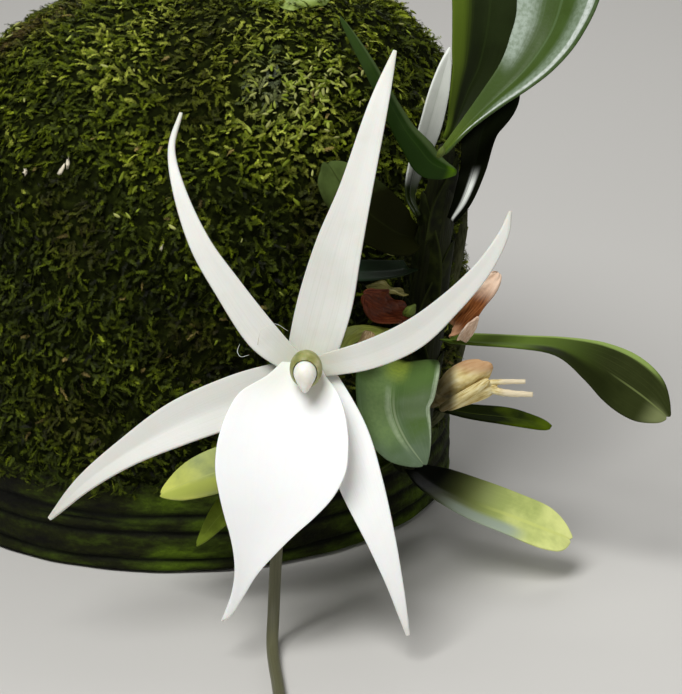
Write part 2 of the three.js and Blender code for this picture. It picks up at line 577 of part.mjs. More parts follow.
const group = new THREE.Group();
const flower = new THREE.Group();
flower.position.set(...FLOWER_CENTRE);
flower.rotation.x = FLOWER_TILT;
group.add(flower);

function add(parent, name, geometry, material) {
  const mesh = new THREE.Mesh(geometry, material);
  mesh.name = name;
  parent.add(mesh);
}

add(group, "pot", potGeometry(), FINISHES.clay);
add(group, "potting_mix", mixGeometry(), FINISHES.mix);
const cuts = [toSolid(stemGeometry(GAP)),
  ...Object.values(ROOTS).map((places) => toSolid(rootGeometry(places, GAP)))];
add(group, "moss", mossGeometry(cuts), FINISHES.moss);
add(group, "stem", stemGeometry(), FINISHES.stem);
for (const [name, places] of Object.entries(ROOTS)) add(group, name, rootGeometry(places), FINISHES.root);
for (const [name, leaf] of Object.entries(LEAVES)) add(group, name, blade(leaf), FINISHES.leaf);
for (const [name, bract] of Object.entries(BRACTS)) {
  add(group, name, blade({ thickness: BRACT_THICKNESS, steps: 8, across: 4, ...bract }), FINISHES.dryBract);
}
add(group, "spent_flower", spentGeometry(), FINISHES.spent);
add(group, "stalk", tube(STALK_POINTS, STALK_RADII, 8, 14), FINISHES.stem);
add(group, "spur", tube(SPUR_POINTS, SPUR_RADII, SPUR_SIDES, SPUR_STEPS), FINISHES.spur);
for (const [name, tepal] of Object.entries(TEPALS)) {
  add(flower, name, blade({ thickness: TEPAL_THICKNESS, ...tepal }), FINISHES.petal);
}
add(flower, "column", columnGeometry(), FINISHES.column);
add(flower, "anther_cap", ball(ANTHER_CENTRE, ANTHER_RADII, 0, ANTHER_BEAK), FINISHES.anther);

export default group;
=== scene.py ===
# %% [markdown]
# # A star orchid on a mossy clay pot
# A small orchid with one big white flower grows on the outside of a clay pot. Moss covers the pot like a
# cap, and a bare band of clay shows under it. The solids of every piece are loaded first. Each piece that the
# eye rests on is then made again as a finer mesh from the same control points, so that it keeps its form.

# %% Load the frame
import math

import bmesh
import bpy
import numpy as np
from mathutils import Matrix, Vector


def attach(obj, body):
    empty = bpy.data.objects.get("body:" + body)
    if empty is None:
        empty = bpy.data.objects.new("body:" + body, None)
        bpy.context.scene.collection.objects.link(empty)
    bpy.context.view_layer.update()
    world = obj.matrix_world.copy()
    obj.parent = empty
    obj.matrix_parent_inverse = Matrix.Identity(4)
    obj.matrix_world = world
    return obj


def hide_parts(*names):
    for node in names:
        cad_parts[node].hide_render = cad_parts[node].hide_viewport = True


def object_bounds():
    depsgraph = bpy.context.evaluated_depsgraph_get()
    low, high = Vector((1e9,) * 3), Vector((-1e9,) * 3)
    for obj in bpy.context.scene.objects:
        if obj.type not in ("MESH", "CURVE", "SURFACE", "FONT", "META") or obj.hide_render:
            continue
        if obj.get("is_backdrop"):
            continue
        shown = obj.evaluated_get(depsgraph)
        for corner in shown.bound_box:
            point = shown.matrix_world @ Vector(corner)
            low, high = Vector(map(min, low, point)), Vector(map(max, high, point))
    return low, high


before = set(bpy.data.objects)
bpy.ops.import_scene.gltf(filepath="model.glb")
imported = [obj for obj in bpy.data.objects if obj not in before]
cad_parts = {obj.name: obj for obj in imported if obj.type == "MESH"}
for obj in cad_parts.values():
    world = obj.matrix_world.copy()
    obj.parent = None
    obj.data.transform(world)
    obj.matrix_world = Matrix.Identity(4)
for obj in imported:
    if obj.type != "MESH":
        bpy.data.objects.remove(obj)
cad_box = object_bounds()
MM = 0.001
print("solids:", len(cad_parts))

# %% [markdown]
# ## Camera
# The flower is looked at from a little above, with a long lens, as a close-up of a plant is usually taken.
# A camera looks along its own -Z axis, so a turn of 70 degrees about X leaves it looking 20 degrees down.
# A constraint could aim it at the flower, but plain numbers give the same picture on every run.


# %% Camera
def put(name, data):
    """A new object in the scene."""
    thing = bpy.data.objects.new(name, data)
    bpy.context.collection.objects.link(thing)
    return thing


CAMERA_PLACE = (20.48, -369.19, 151.22)
CAMERA_ELEVATION = 20.0
SENSOR = 36.0
LENS = 155.6
FLOWER_CENTRE = (16.4, -52.0, 32.8)
camera_data = bpy.data.cameras.new("camera")
camera_data.sensor_width = SENSOR
camera_data.lens = LENS
camera = put("camera", camera_data)
camera.location = [c * MM for c in CAMERA_PLACE]
camera.rotation_euler = (math.radians(90 - CAMERA_ELEVATION), 0, 0)
bpy.context.scene.camera = camera
print("camera is", round(math.dist(CAMERA_PLACE, FLOWER_CENTRE)), "mm from the flower")

# %% [markdown]
# ## Colours and nodes
# Colours are picked as the hex values that a screen shows, but a shader works with linear light. One function
# turns one into the other. Another adds a node, and takes its settings and the sockets that feed it. The rest
# join several nodes to what many finishes share: a layer of colour, streaks, blots and relief.


# %% Colour and node helpers
def colour(code):
    """An sRGB hex code as linear red, green, blue and alpha."""
    parts = [int(code[k:k + 2], 16) / 255 for k in (1, 3, 5)]
    return [p / 12.92 if p <= 0.04045 else ((p + 0.055) / 1.055) ** 2.4 for p in parts] + [1.0]


def add(tree, kind, feeds=(), stops=(), out=None, **settings):
    """Adds one node. Returns the output that out names, or else the first one in use. Feeds are values, or
    other outputs, for its inputs in their order or by name. Size is how wide a pattern's blots are, in mm."""
    node = tree.nodes.new("ShaderNode" + kind)
    for name, value in settings.items():
        setattr(node, name, value)
    if stops:
        ramp = node.color_ramp
        while len(ramp.elements) < len(stops):
            ramp.elements.new(1.0)
        for element, (place, code) in zip(ramp.elements, stops):
            element.position = place
            element.color = colour(code)
    for socket, value in feeds.items() if isinstance(feeds, dict) else enumerate(feeds):
        if socket == "Size":
            socket, value = "Scale", 1 / (value * MM)
        if isinstance(value, bpy.types.NodeSocket):
            tree.links.new(value, node.inputs[socket])
        else:
            node.inputs[socket].default_value = value
    return node.outputs[out] if out else next(socket for socket in node.outputs if socket.enabled)


def finish(name, roughness, **shader):
    """A new material and its node tree. Constant values go on the Principled shader itself."""
    material = bpy.data.materials.new(name)
    material.use_nodes = True
    tree = material.node_tree
    for socket, value in {"Roughness": roughness, **shader}.items():
        tree.nodes["Principled BSDF"].inputs[socket.replace("_", " ")].default_value = value
    return material, tree


def dress(tree, shade, height=None, strength=0.5, depth=0.3):
    """Gives a finish its colour, and its relief from a height that is some tenths of a millimetre deep."""
    surface = tree.nodes["Principled BSDF"].inputs
    tree.links.new(shade, surface["Base Color"])
    if height is not None:
        bump = add(tree, "Bump", {"Height": height, "Strength": strength, "Distance": depth * MM})
        tree.links.new(bump, surface["Normal"])


def blotched(name, roughness, size, detail, stops, strength=0.0, depth=0.0, kind="TexNoise", **shader):
    """A finish whose colour and relief both follow one pattern of blots."""
    material, tree = finish(name, roughness, **shader)
    place = add(tree, "TexCoord", out="Object")
    blots = add(tree, kind, {"Vector": place, "Size": size, "Detail": detail})
    dress(tree, add(tree, "ValToRGB", [blots], stops), blots if strength else None, strength, depth)
    return material


def layer(tree, shade, code, *ramps, most=1.0):
    """Lays a colour over a shade, as far as its ramps and the most that may show let it. A ramp is (value,
    low, high): it climbs smoothly from 0 at low to 1 at high, or falls where high is the lower one."""
    amount = most
    for value, low, high in ramps:
        climbs = float(high > low)
        ramp = add(tree, "MapRange", [value, min(low, high), max(low, high), 1 - climbs, climbs],
                   interpolation_type="SMOOTHSTEP")
        amount = add(tree, "Math", [ramp, amount], operation="MULTIPLY")
    return add(tree, "Mix", {0: amount, 6: shade, 7: colour(code)}, data_type="RGBA")


def streaked(tree, wide, long, detail):
    """A piece's fields across and along it, and a noise drawn out along it into streaks."""
    across, along = (add(tree, "Attribute", out="Fac", attribute_name=field) for field in ("across", "along"))
    grain = add(tree, "CombineXYZ", [add(tree, "Math", [across, wide], operation="MULTIPLY"),
                                     add(tree, "Math", [along, long], operation="MULTIPLY")])
    return across, along, add(tree, "TexNoise", {"Vector": grain, "Scale": 1.0, "Detail": detail})


print("white is", colour("#FFFFFF")[:3])

# %% [markdown]
# ## Smooth curves
# Nothing on a plant runs straight. Every stem, leaf and root follows a smooth curve through a few points in
# millimetres. A Blender curve object could draw it, but worked out as an array, the same curve also carries
# a leaf's width and fold.


# %% Smooth curves
def smooth(values, t):
    """Reads a smooth curve through the rows of values at every t from 0 to 1."""
    values = np.asarray(values, float)
    flat = values.ndim == 1
    rows = values[:, None] if flat else values
    last = len(rows) - 1
    place = np.clip(t, 0, 1) * last
    i = np.minimum(place.astype(int), last - 1)
    f = (place - i)[:, None]
    padded = np.vstack([2 * rows[0] - rows[1], rows, 2 * rows[-1] - rows[-2]])
    p0, p1, p2, p3 = (padded[i + k] for k in range(4))
    m1, m2 = (p2 - p0) / 2, (p3 - p1) / 2
    out = ((2 * f ** 3 - 3 * f ** 2 + 1) * p1 + (f ** 3 - 2 * f ** 2 + f) * m1
           + (3 * f ** 2 - 2 * f ** 3) * p2 + (f ** 3 - f ** 2) * m2)
    return out[:, 0] if flat else out


def unit(vectors):
    """The same directions, each one long."""
    return vectors / np.maximum(np.linalg.norm(vectors, axis=-1, keepdims=True), 1e-12)


def tangents(points, t):
    """The direction in which a smooth path runs at every t."""
    step = 0.01
    return unit(smooth(points, np.minimum(t + step, 1)) - smooth(points, np.maximum(t - step, 0)))


print("a bend at a quarter:", smooth([(0, 0, 0), (1, 0, 2), (3, 0, 3)], np.array([0.25])).round(2).tolist())

# %% [markdown]
# ## Loops and faces
# A piece is built as loops of points round it, one after another, like the hoops of a barrel. Faces join each
# loop to the next, and a cap closes each end. So even a thin petal is a solid with a thickness of its own,
# which light can enter. The last step hangs the piece on the pot and its plant, which are one body.


# %% Loops, faces and meshes
def grid_faces(rows, columns):
    """Quads between neighbouring loops of points."""
    i, j = np.meshgrid(np.arange(rows - 1), np.arange(columns), indexing="ij")
    k = (j + 1) % columns
    corners = [i * columns + j, i * columns + k, (i + 1) * columns + k, (i + 1) * columns + j]
    return np.stack(corners, axis=-1).reshape(-1, 4)


def closed_faces(rows, columns, start=0):
    """The sides of a tube-like grid of loops, and a flat cap at each of its ends."""
    first = start + np.arange(columns)
    return (grid_faces(rows, columns) + start).tolist() + [first[::-1].tolist(),
                                                           (first + (rows - 1) * columns).tolist()]


def mesh_object(name, points, material=None, slot=None, replaces=(), faces=None, fields=None, shade=True):
    """Makes a mesh from points in millimetres, and rides it on the pot and its plant. With no faces given,
    the points are loops that close to a solid."""
    mesh = bpy.data.meshes.new(name)
    if faces is None:
        faces = closed_faces(*points.shape[:2])
    points = np.asarray(points, float).reshape(-1, 3) * MM
    if isinstance(faces, np.ndarray):
        mesh.vertices.add(len(points))
        mesh.vertices.foreach_set("co", points.ravel())
        mesh.loops.add(faces.size)
        mesh.loops.foreach_set("vertex_index", faces.ravel())
        mesh.polygons.add(len(faces))
        mesh.polygons.foreach_set("loop_start", np.arange(0, faces.size, faces.shape[1]))
    else:
        mesh.from_pydata(points.tolist(), [], faces)
    for field, values in (fields or {}).items():
        mesh.attributes.new(field, "FLOAT", "POINT").data.foreach_set("value", np.ravel(values))
    mesh.polygons.foreach_set("use_smooth", [shade] * len(mesh.polygons))
    mesh.update()
    piece = put(name, mesh)
    if material:
        mesh.materials.append(material)
    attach(piece, "root")
    if replaces:
        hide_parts(*replaces)
    return piece


print("3 loops of 4 points have", len(closed_faces(3, 4)), "faces")

# %% [markdown]
# ## Thin blades
# A leaf, a petal or a bract is a thin blade along a curve. Its stations say where the midrib runs and how
# wide the blade is there, in millimetres. A bent plane with a Solidify modifier would be as thick at its
# margins as in its middle, so the blade's two sides are worked out instead. It is folded along its midrib,
# closed all round, and thins towards its margins. Each point keeps two numbers for its finish: how far across
# the blade it lies, from -1 to 1, and how far along, from 0 to 1.


# %% Blades
def blade_points(stations, faces=((0, 0, 1), (0, 0, 1)), fold=(30, 18, 8), keel=0.7, lobes=(0, 0), wave=0,
                 level=None, crumple=0, thick=0.5, edge=0.18, steps=48, across=14, rounding=0.62):
    """The closed outline of one blade as loops of points round it, with its two fields. The faces say which
    way it looks, the fold is in degrees, the keel is how sharp the fold is, the lobes are how far its tip
    stands out on each side, and the wave and the crumple ripple it."""
    stations = np.asarray(stations, float)
    t = 1 - (1 - np.linspace(0, 1, steps + 1)) ** 1.5
    v = np.sin(np.linspace(-1, 1, across + 1) * math.pi / 2)
    centre, tangent = smooth(stations[:, :3], t), tangents(stations[:, :3], t)
    side = unit(np.cross(tangent, smooth(np.asarray(faces, float), t)))
    if level is not None:
        side = np.broadcast_to(np.asarray(level, float), tangent.shape)
    face = unit(np.cross(side, tangent))
    tip = np.clip((t - 0.88) / 0.12, 0, 1)
    half = np.maximum(smooth(stations[:, 3], t), 0.4) / 2 * (1 - rounding * (1 - np.sqrt(1 - tip ** 2)))
    rise = np.tan(np.radians(smooth(fold, t)))
    reach = np.abs(v)
    down = t[:, None]
    ripple = wave * reach ** 2 * np.sin(9 * down + 2 * v) * np.sin(math.pi * down)
    ripple = ripple + crumple * (np.sin(5 * v + 13 * down) + 0.7 * np.sin(23 * down - 8 * v + 1)
                                 + 0.5 * np.sin(17 * v + 6 * down))
    height = (half * rise)[:, None] * (keel * reach + (1 - keel) * reach ** 2) + ripple
    slope = np.sign(v) * rise[:, None] * (keel * np.minimum(reach * 12, 1) + 2 * (1 - keel) * reach)
    normal = unit(face[:, None] - side[:, None] * slope[..., None])
    lobe = np.where(v < 0, lobes[0], lobes[1]) * np.sin(math.pi * reach) / 2
    middle = (centre[:, None] + side[:, None] * (half[:, None] * v)[..., None]
              + face[:, None] * height[..., None] + tangent[:, None] * (tip[:, None] ** 2 * lobe)[..., None])
    depth = edge + (thick - edge) * np.sqrt(1 - reach ** 2)
    ends = np.minimum(1, 0.4 + np.minimum(t, 1 - t) * 20)
    offset = normal * (depth * ends[:, None] / 2)[..., None]
    loops = np.concatenate([middle + offset, (middle - offset)[:, ::-1]], axis=1)
    return loops, {"across": np.tile(np.concatenate([v, v[::-1]]), (steps + 1, 1)),
                   "along": np.repeat(down, 2 * (across + 1), axis=1)}


def blade(name, material, slot, replaces, place=None, **shape):
    """Makes one blade. The place turns its points from a frame of its own into the pot's."""
    loops, fields = blade_points(**shape)
    mesh_object(name, place(loops) if place else loops, material, slot, replaces, fields=fields)


print("a blade has", len(closed_faces(*blade_points([(0, 0, 0, 1), (0, 0, 9, 1)])[0].shape[:2])), "faces")

# %% [markdown]
# ## Tubes
# Stalks, roots and the spur are round, but never quite. Each loop takes its sideways direction from the loop
# before it, so that the tube doesn't twist where its path bends, and its radius may wander a little.


# %% Tubes
def tube_points(points, radii, sides=20, steps=80, rough=0.0, seed=0):
    """Loops of points round a smooth path. The rough share lets the radius wander, as on living tissue."""
    t = np.linspace(0, 1, steps + 1)
    centre, tangent, radius = smooth(points, t), tangents(points, t), smooth(radii, t)
    side = np.zeros_like(centre)
    current = np.array([1, 0.2, 0.1])
    for k, direction in enumerate(tangent):
        current = unit(current - direction * current.dot(direction))
        side[k] = current
    up = np.cross(tangent, side)
    angle = np.linspace(0, 2 * math.pi, sides, endpoint=False)
    down = t[:, None]
    wander = 1 + rough * (np.sin(3 * angle + 23 * down + seed) + np.sin(5 * angle - 41 * down)) / 2
    reach = radius[:, None] * wander
    return (centre[:, None] + side[:, None] * (reach * np.cos(angle))[..., None]
            + up[:, None] * (reach * np.sin(angle))[..., None]), t, angle


def tube(name, material, slot, replaces, points, radii, **shape):
    """Makes one tube, with the same two fields as a blade."""
    loops, t, angle = tube_points(points, radii, **shape)
    fields = {"along": np.repeat(t, len(angle)), "across": np.tile(np.cos(angle), len(t))}
    mesh_object(name, loops, material, slot, replaces, fields=fields)


print("a tube has", len(tube_points([(0, 0, 0), (0, 0, 9)], [1, 1])[1]), "loops")

# %% [markdown]
# ## Living moss
# Moss is a carpet of tiny shoots, each with rows of pointed leaves under a millimetre long. From a step away
# the eye sees bright tips over dark gaps, and here and there a straw-coloured dead shoot. Nothing but real
# shoots gives that depth, so each shoot is a real mesh of small leaves, set along the curve of its stem. They
# grow from a cushion whose lumps and creases follow the solid's.

# %% The moss cushion as a surface
POT_BELLY_RADIUS = 34.2
MOSS_FOOT = 9.5
MOSS_LUMP = 0.55
SMALL_STEP = 0.004
MOSS_PROFILE = np.array([
    [9.5, 35.0, 0], [12.5, 36.0, 0], [19, 36.5, 0], [26, 36.8, 0], [33, 36.9, 0.1], [39, 36.5, 0.4],
    [45, 35.3, 1.2], [49, 33.8, 2.2], [53, 31.4, 3.5], [57.8, 27.6, 5.0], [61, 23.6, 6.0], [63.6, 18.8, 6.6],
    [66, 12.0, 6.9], [67.4, 5.0, 7.0], [67.8, 0.0, 7.0],
])


def moss_lump(angle, height):
    """How far the cushion bulges or dips there, in mm, just as on its solid."""
    broad = np.sin(5 * angle + 0.9 + 0.05 * height) * np.sin(0.33 * height + 1.4 * np.sin(2 * angle))
    fine = np.sin(11 * angle - 0.4 + 0.11 * height) * np.cos(0.52 * height - 1.1)
    crease = np.exp(-(((height - 31 - 5 * np.sin(angle * 2 + 1)) / 2.2) ** 2))
    return MOSS_LUMP * (broad + 0.6 * fine - 1.1 * crease)


def tufts(angle, height):
    """Smaller lumps, 3 to 8 mm across, that the shoots give the cushion. It is 36 mm from the pot's axis."""
    turn = angle * 36
    return 0.5 * (np.sin(0.9 * turn + 1.3 * np.sin(0.31 * height)) * np.sin(1.1 * height + np.sin(0.7 * turn))
                  + 0.8 * np.sin(1.9 * turn - 0.8 * height) * np.sin(1.7 * height + 0.9 * turn + 2))


def moss_surface(angle, along, inset):
    """Points on the cushion at an angle round it and a share along its profile, foot to top."""
    height, radius, slide = smooth(MOSS_PROFILE, along).T
    foot = np.clip((height - MOSS_FOOT) / 6, 0, 1)
    narrow = np.clip(radius / 12, 0, 1)
    grown = radius - inset * narrow + foot * narrow * (moss_lump(angle, height) + 0.7 * tufts(angle, height))
    lifted = height + 0.4 * foot * moss_lump(angle + 1, height) - inset * (1 - narrow)
    return np.stack([grown * np.cos(angle) + slide, grown * np.sin(angle), lifted], axis=-1)


def moss_step_up(angle, along, inset):
    """A short step up the profile from each point."""
    return (moss_surface(angle, np.minimum(along + SMALL_STEP, 1), inset)
            - moss_surface(angle, np.maximum(along - SMALL_STEP, 0), inset))


def moss_frame(angle, along, inset):
    """The points, with the surface's outward direction there."""
    ahead, behind = (moss_surface(angle + step, along, inset) for step in (SMALL_STEP, -SMALL_STEP))
    outward = unit(np.cross(ahead - behind, moss_step_up(angle, along, inset)))
    return moss_surface(angle, along, inset), outward


middle, outward = moss_frame(np.array([-math.pi / 2]), np.array([0.3]), 0)
print("the moss faces", outward.round(2).tolist(), "at", middle.round(1).tolist())

# %% [markdown]
# The cushion itself is damp brown stems and old leaves. It is hardly seen, so it is a dark matt surface with
# lumps, and its foot is torn where the moss gives way to bare clay.

# %% Moss cushion
CUSHION_TURNS = 180
CUSHION_ROWS = 90
CUSHION_INSET = 1.2
earth = blotched("damp_moss_litter", 1.0, 1.111, 4.0,
                 [(0.3, "#0A0C02"), (0.55, "#151A04"), (0.75, "#262C0A")],
                 strength=0.8, depth=0.6, Specular_IOR_Level=0.05)
angles = np.linspace(0, 2 * math.pi, CUSHION_TURNS, endpoint=False)
rows = [moss_surface(angles, np.full(CUSHION_TURNS, share), CUSHION_INSET)
        for share in np.linspace(0, 1, CUSHION_ROWS)]
torn = 0.9 * np.sin(7 * angles) * np.sin(3 * angles + 1) + 0.6 * np.sin(17 * angles)
rows[0][:, 2] += torn * 0.5
rows[0][:, :2] *= (POT_BELLY_RADIUS + 0.5) / np.linalg.norm(rows[0][:, :2], axis=1, keepdims=True)
cushion_faces = closed_faces(CUSHION_ROWS, CUSHION_TURNS)[:-1]
mesh_object("moss_cushion", rows, earth, "moss", ["moss"], cushion_faces)
print("cushion faces:", len(cushion_faces))

# %% [markdown]
# Moss grows evenly over its cushion. Places picked evenly on the profile would crowd at the narrow top, so
# more are drawn than are needed, and each is kept by the area that it stands for. Two dark creases part the
# cushion, and the shoots in them are short and get painted shade.

# %% Where the shoots stand
CREASE_HEIGHT = 47.4


def moss_spots(draw, count):
    """Evenly spread places on the cushion: many are drawn, and kept by the area that each stands for."""
    angle = draw.uniform(0, 2 * math.pi, count * 4)
    along = draw.uniform(0, 1, count * 4)
    area = np.linalg.norm(moss_step_up(angle, along, 0), axis=1) * smooth(MOSS_PROFILE[:, 1], along)
    kept = np.nonzero(draw.uniform(0, 1, len(area)) < area / np.percentile(area, 97))[0][:count]
    return angle[kept], along[kept]


def crease_depth(angle, height):
    """0 on open moss, 1 in the middle of a crease, whose shoots get painted shade."""
    middle = CREASE_HEIGHT + 1.1 * np.cos(3 * (angle + math.radians(108)))
    upper = np.exp(-((height - middle) / 1.3) ** 2) * (np.cos(angle + 1.9) > 0)
    lower = np.exp(-((height - 31 - 5 * np.sin(2 * angle + 1)) / 1.6) ** 2)
    broken = 0.65 + 0.35 * np.sin(9 * angle + 0.3 * height)
    return np.clip((upper + 0.8 * lower) * broken, 0, 1)


print("crease in front:", crease_depth(np.array([-1.9]), np.array([CREASE_HEIGHT])).round(2).tolist())

# %% [markdown]
# Moss is never one green. Tips in the light are yellow-green, shaded shoots nearly black, and a few have died
# to straw; here that light and shade is painted into the shoots' colours. A painted texture would put several
# greens on one shoot, so each shoot gets one colour from a palette, and light and dark ones stand in clumps.

# %% Colours of the shoots
MOSS_COLOURS = ["#171B08", "#2B3306", "#404B08", "#58640C", "#78841C", "#9AA23E"]
MOSS_SHARES = [0.14, 0.26, 0.27, 0.19, 0.10, 0.04]
DEAD_SHARE = 0.006
# Ovals on the cushion are (angle in degrees, height, half width in degrees, half height in mm). Those with
# a positive number get painted light and those with a negative one painted shade, and some are stained.
MOSS_LIGHT_AND_SHADE = [((-62, 58, 22, 7), 0.22), ((-118, 62, 20, 4), 0.2), ((-76, 52, 14, 6), 0.34),
                ((-130, 42, 25, 8), -0.12), ((-95, 38, 20, 5), -0.08)]
MOSS_STAINS = [((-172, 59, 9, 3), 0.7, "#5A4226"), ((-75, 58.5, 7, 2.6), 0.6, "#5E6262")]


def oval(angle, height, degrees, level, wide, tall):
    """1 in the middle of an oval on the cushion, and 0 well outside it."""
    away = (np.degrees(angle) - degrees + 180) % 360 - 180
    return np.exp(-((away / wide) ** 2 + ((height - level) / tall) ** 2))


def stained(tint, share, code):
    """Tints drawn towards a colour by a share of their own."""
    return tint * (1 - share[:, None]) + np.array(colour(code)[:3]) * share[:, None]


def shoot_colours(draw, place, angle):
    """A colour for each shoot, with painted light that makes it lighter and yellower on top of the cushion
    than low on its side, and painted shade in creases and between tufts.
    """
    palette = np.array([colour(code)[:3] for code in MOSS_COLOURS])
    bands = np.cumsum(MOSS_SHARES) / sum(MOSS_SHARES)
    x, y, height = place.T
    clump = (0.12 * np.sin(0.9 * x + 1.3 * np.sin(0.5 * height)) * np.sin(1.1 * height + 0.7 * x - 0.4 * y)
             + 0.10 * np.sin(0.33 * x - 0.2 * y + 0.3 * height)
             + 0.17 * np.sin(2.6 * x + 1.1 * np.sin(1.7 * height))
             * np.sin(2.9 * height - 1.2 * y + np.sin(1.9 * x)))
    # Painted light: shoots high on the cushion get lighter, yellower colours.
    top = np.clip((height - 48) / 14, -0.5, 1)
    light = 0.2 + 0.6 * draw.uniform(0, 1, len(place)) + clump + 0.15 * top
    # Painted light and shade in ovals on the cushion.
    for region, more in MOSS_LIGHT_AND_SHADE:
        light += more * oval(angle, height, *region)
    tint = palette[np.searchsorted(bands, np.clip(light, 0, 0.999))]
    tint[draw.uniform(0, 1, len(place)) < DEAD_SHARE] = colour("#8A7A44")[:3]
    for region, most, code in MOSS_STAINS:
        tint = stained(tint, most * oval(angle, height, *region), code)
    brown = np.clip(np.sin(0.21 * x + 0.9) * np.sin(0.27 * height - 0.17 * y) - 0.35, 0, 1)
    tint = stained(tint, 0.7 * brown, "#3E3814")
    # Painted light and shade: tuft crests are lighter, tuft hollows and creases darker.
    crest = np.clip(0.5 + 0.55 * tufts(angle, height), 0, 1)
    tuft_light_and_crease_shade = (1 - 0.72 * crease_depth(angle, height)) * (0.55 + 0.95 * crest)
    return tint * (draw.uniform(0.8, 1.2, len(place)) * tuft_light_and_crease_shade)[:, None]


print("moss greens:", len(MOSS_COLOURS))

# %% [markdown]
# A shoot is a bent stem with pointed leaves on both sides, like a tiny feather. It rises from the cushion,
# then bows over and lies along it. Blender's hair could grow strands here, but a strand has no leaves. So all
# shoots are worked out at once as arrays: each has its foot, the heading that it bows to, a length and a
# colour. Neighbours head much the same way, which gives the carpet its flow. The leaves hide the stems, so
# only the leaves are drawn.

# %% Leaves of many shoots
SHOOT_NODES = 11


def shoots(draw, count):
    """The triangles of the leaves of many shoots, with a tint for each corner."""
    angle, along = moss_spots(draw, count)
    count = len(angle)
    foot, outward = moss_frame(angle, along, 1.1)
    east = unit(np.cross([0.02, 0.01, 1.0], outward))
    north = np.cross(outward, east)
    x, y, height = foot.T
    flow = 1.1 * np.sin(0.17 * x + 0.11 * height) + 0.8 * np.sin(0.23 * height - 0.1 * y)
    heading = flow + draw.normal(0, 1.0, count)
    bend = draw.normal(0, 1.1, count)

    def along_surface(turn):
        return east * np.sin(turn)[:, None] - north * np.cos(turn)[:, None]

    rise = draw.uniform(0.6, 1.5, (count, 1))
    first = unit(rise * outward + 0.8 * along_surface(heading))
    last = unit(draw.uniform(-0.15, 0.3, (count, 1)) * outward + along_surface(heading + bend))
    length = draw.uniform(0.9, 2.2, count) * (1 - 0.4 * crease_depth(angle, height))
    width = draw.uniform(0.28, 0.44, count)
    loose = draw.normal(0, 0.35, (count, 3))
    tint = shoot_colours(draw, foot, angle)
    points, tints = [], []
    for node in range(SHOOT_NODES):
        share = (node + 0.6) / SHOOT_NODES
        stem = foot + length[:, None] * (first * share + (last - first) * share ** 2 / 2)
        ahead = unit(first + (last - first) * share)
        side = unit(np.cross(ahead, outward + loose))
        size = (width * (1.1 - 0.6 * share ** 2))[:, None]
        for hand in (-1, 1):
            spread = hand * side * draw.uniform(0.8, 1.5, (count, 1))
            lean = unit(ahead + spread + draw.normal(0, 0.3, (count, 3)))
            flat = unit(np.cross(lean, outward + loose + 0.4 * hand * side)) * size * 0.21
            points.append(np.stack([stem - flat, stem + flat, stem + lean * size], axis=1))
            # Painted shade: each shoot darkens towards its foot, and each leaf towards its base, where the
            # others shade them.
            shoot_foot_shade = (0.5 + 0.85 * share) * draw.uniform(0.85, 1.15, (count, 1))
            tints.append(np.stack([tint * shoot_foot_shade * k for k in (0.8, 0.8, 1.2)], axis=1))
    return np.concatenate(points), np.concatenate(tints)


print("leaves on a shoot:", 2 * SHOOT_NODES)

# %% [markdown]
# The finish reads the colour kept at each point, and has the faint gloss of moist leaves. Several meshes hold
# the shoots, so that none grows too heavy.

# %% Growing the moss
SHOOTS_PER_PIECE = 8200
MOSS_PIECES = 4


def paint(piece, tints):
    """Keeps a colour at each point of a mesh, for its material to read."""
    field = piece.data.attributes.new("tint", "FLOAT_COLOR", "POINT")
    rgba = np.ones((tints.size // 3, 4))
    rgba[:, :3] = np.clip(tints.reshape(-1, 3), 0, 1)
    field.data.foreach_set("color", rgba.ravel())


shoot, tree = finish("living_moss", 0.6, Specular_IOR_Level=0.12)
dress(tree, add(tree, "Attribute", attribute_name="tint"))
draw = np.random.default_rng(7)
for number in range(MOSS_PIECES):
    points, tints = shoots(draw, SHOOTS_PER_PIECE)
    leaves = np.arange(points.shape[0] * 3).reshape(-1, 3)
    piece = mesh_object(f"moss_shoots_{number + 1}", points, shoot, "moss", faces=leaves, shade=False)
    paint(piece, tints)
    print("moss shoot leaves:", len(leaves))

# %% [markdown]
# Buds and scraps lie among the shoots. They are small drawn-out balls: yellowish ones crowd on the
# sunny shoulder of the cushion, and a few white scraps lie on its front. On top, a smooth green film has
# grown over the shoots. Each one's place is an angle in degrees and a share of the cushion's profile.

# %% Buds, scraps and film
BALL_RINGS = 5
BALL_TURNS = 7


def pebbles(name, places, sizes, tints, draw, ragged=0.15):
    """Many small drawn-out balls on the moss, each with a half length and a half width."""
    lift = np.linspace(0.3, math.pi - 0.3, BALL_RINGS)[:, None]
    turn = np.linspace(0, 2 * math.pi, BALL_TURNS, endpoint=False)
    ball = np.stack([np.sin(lift) * np.cos(turn), np.sin(lift) * np.sin(turn),
                     np.broadcast_to(np.cos(lift), (BALL_RINGS, BALL_TURNS))], axis=-1).reshape(-1, 3)
    places = np.asarray(places, float)
    foot, outward = moss_frame(np.radians(places[:, 0]), places[:, 1], -0.25)
    long = unit(np.cross(outward, draw.normal(0, 1, foot.shape)))
    wide = np.cross(outward, long)
    points, faces = [], []
    for k, (length, width) in enumerate(sizes):
        axes = np.stack([wide[k] * width, outward[k] * width * 0.7, long[k] * length])
        wobble = 1 + ragged * draw.normal(0, 1, (len(ball), 1))
        faces += closed_faces(BALL_RINGS, BALL_TURNS, start=len(ball) * k)
        points.append(foot[k] + (ball * wobble) @ axes)
    piece = mesh_object(name, points, shoot, "moss", faces=faces)
    paint(piece, np.repeat(np.asarray(tints), len(ball), axis=0))


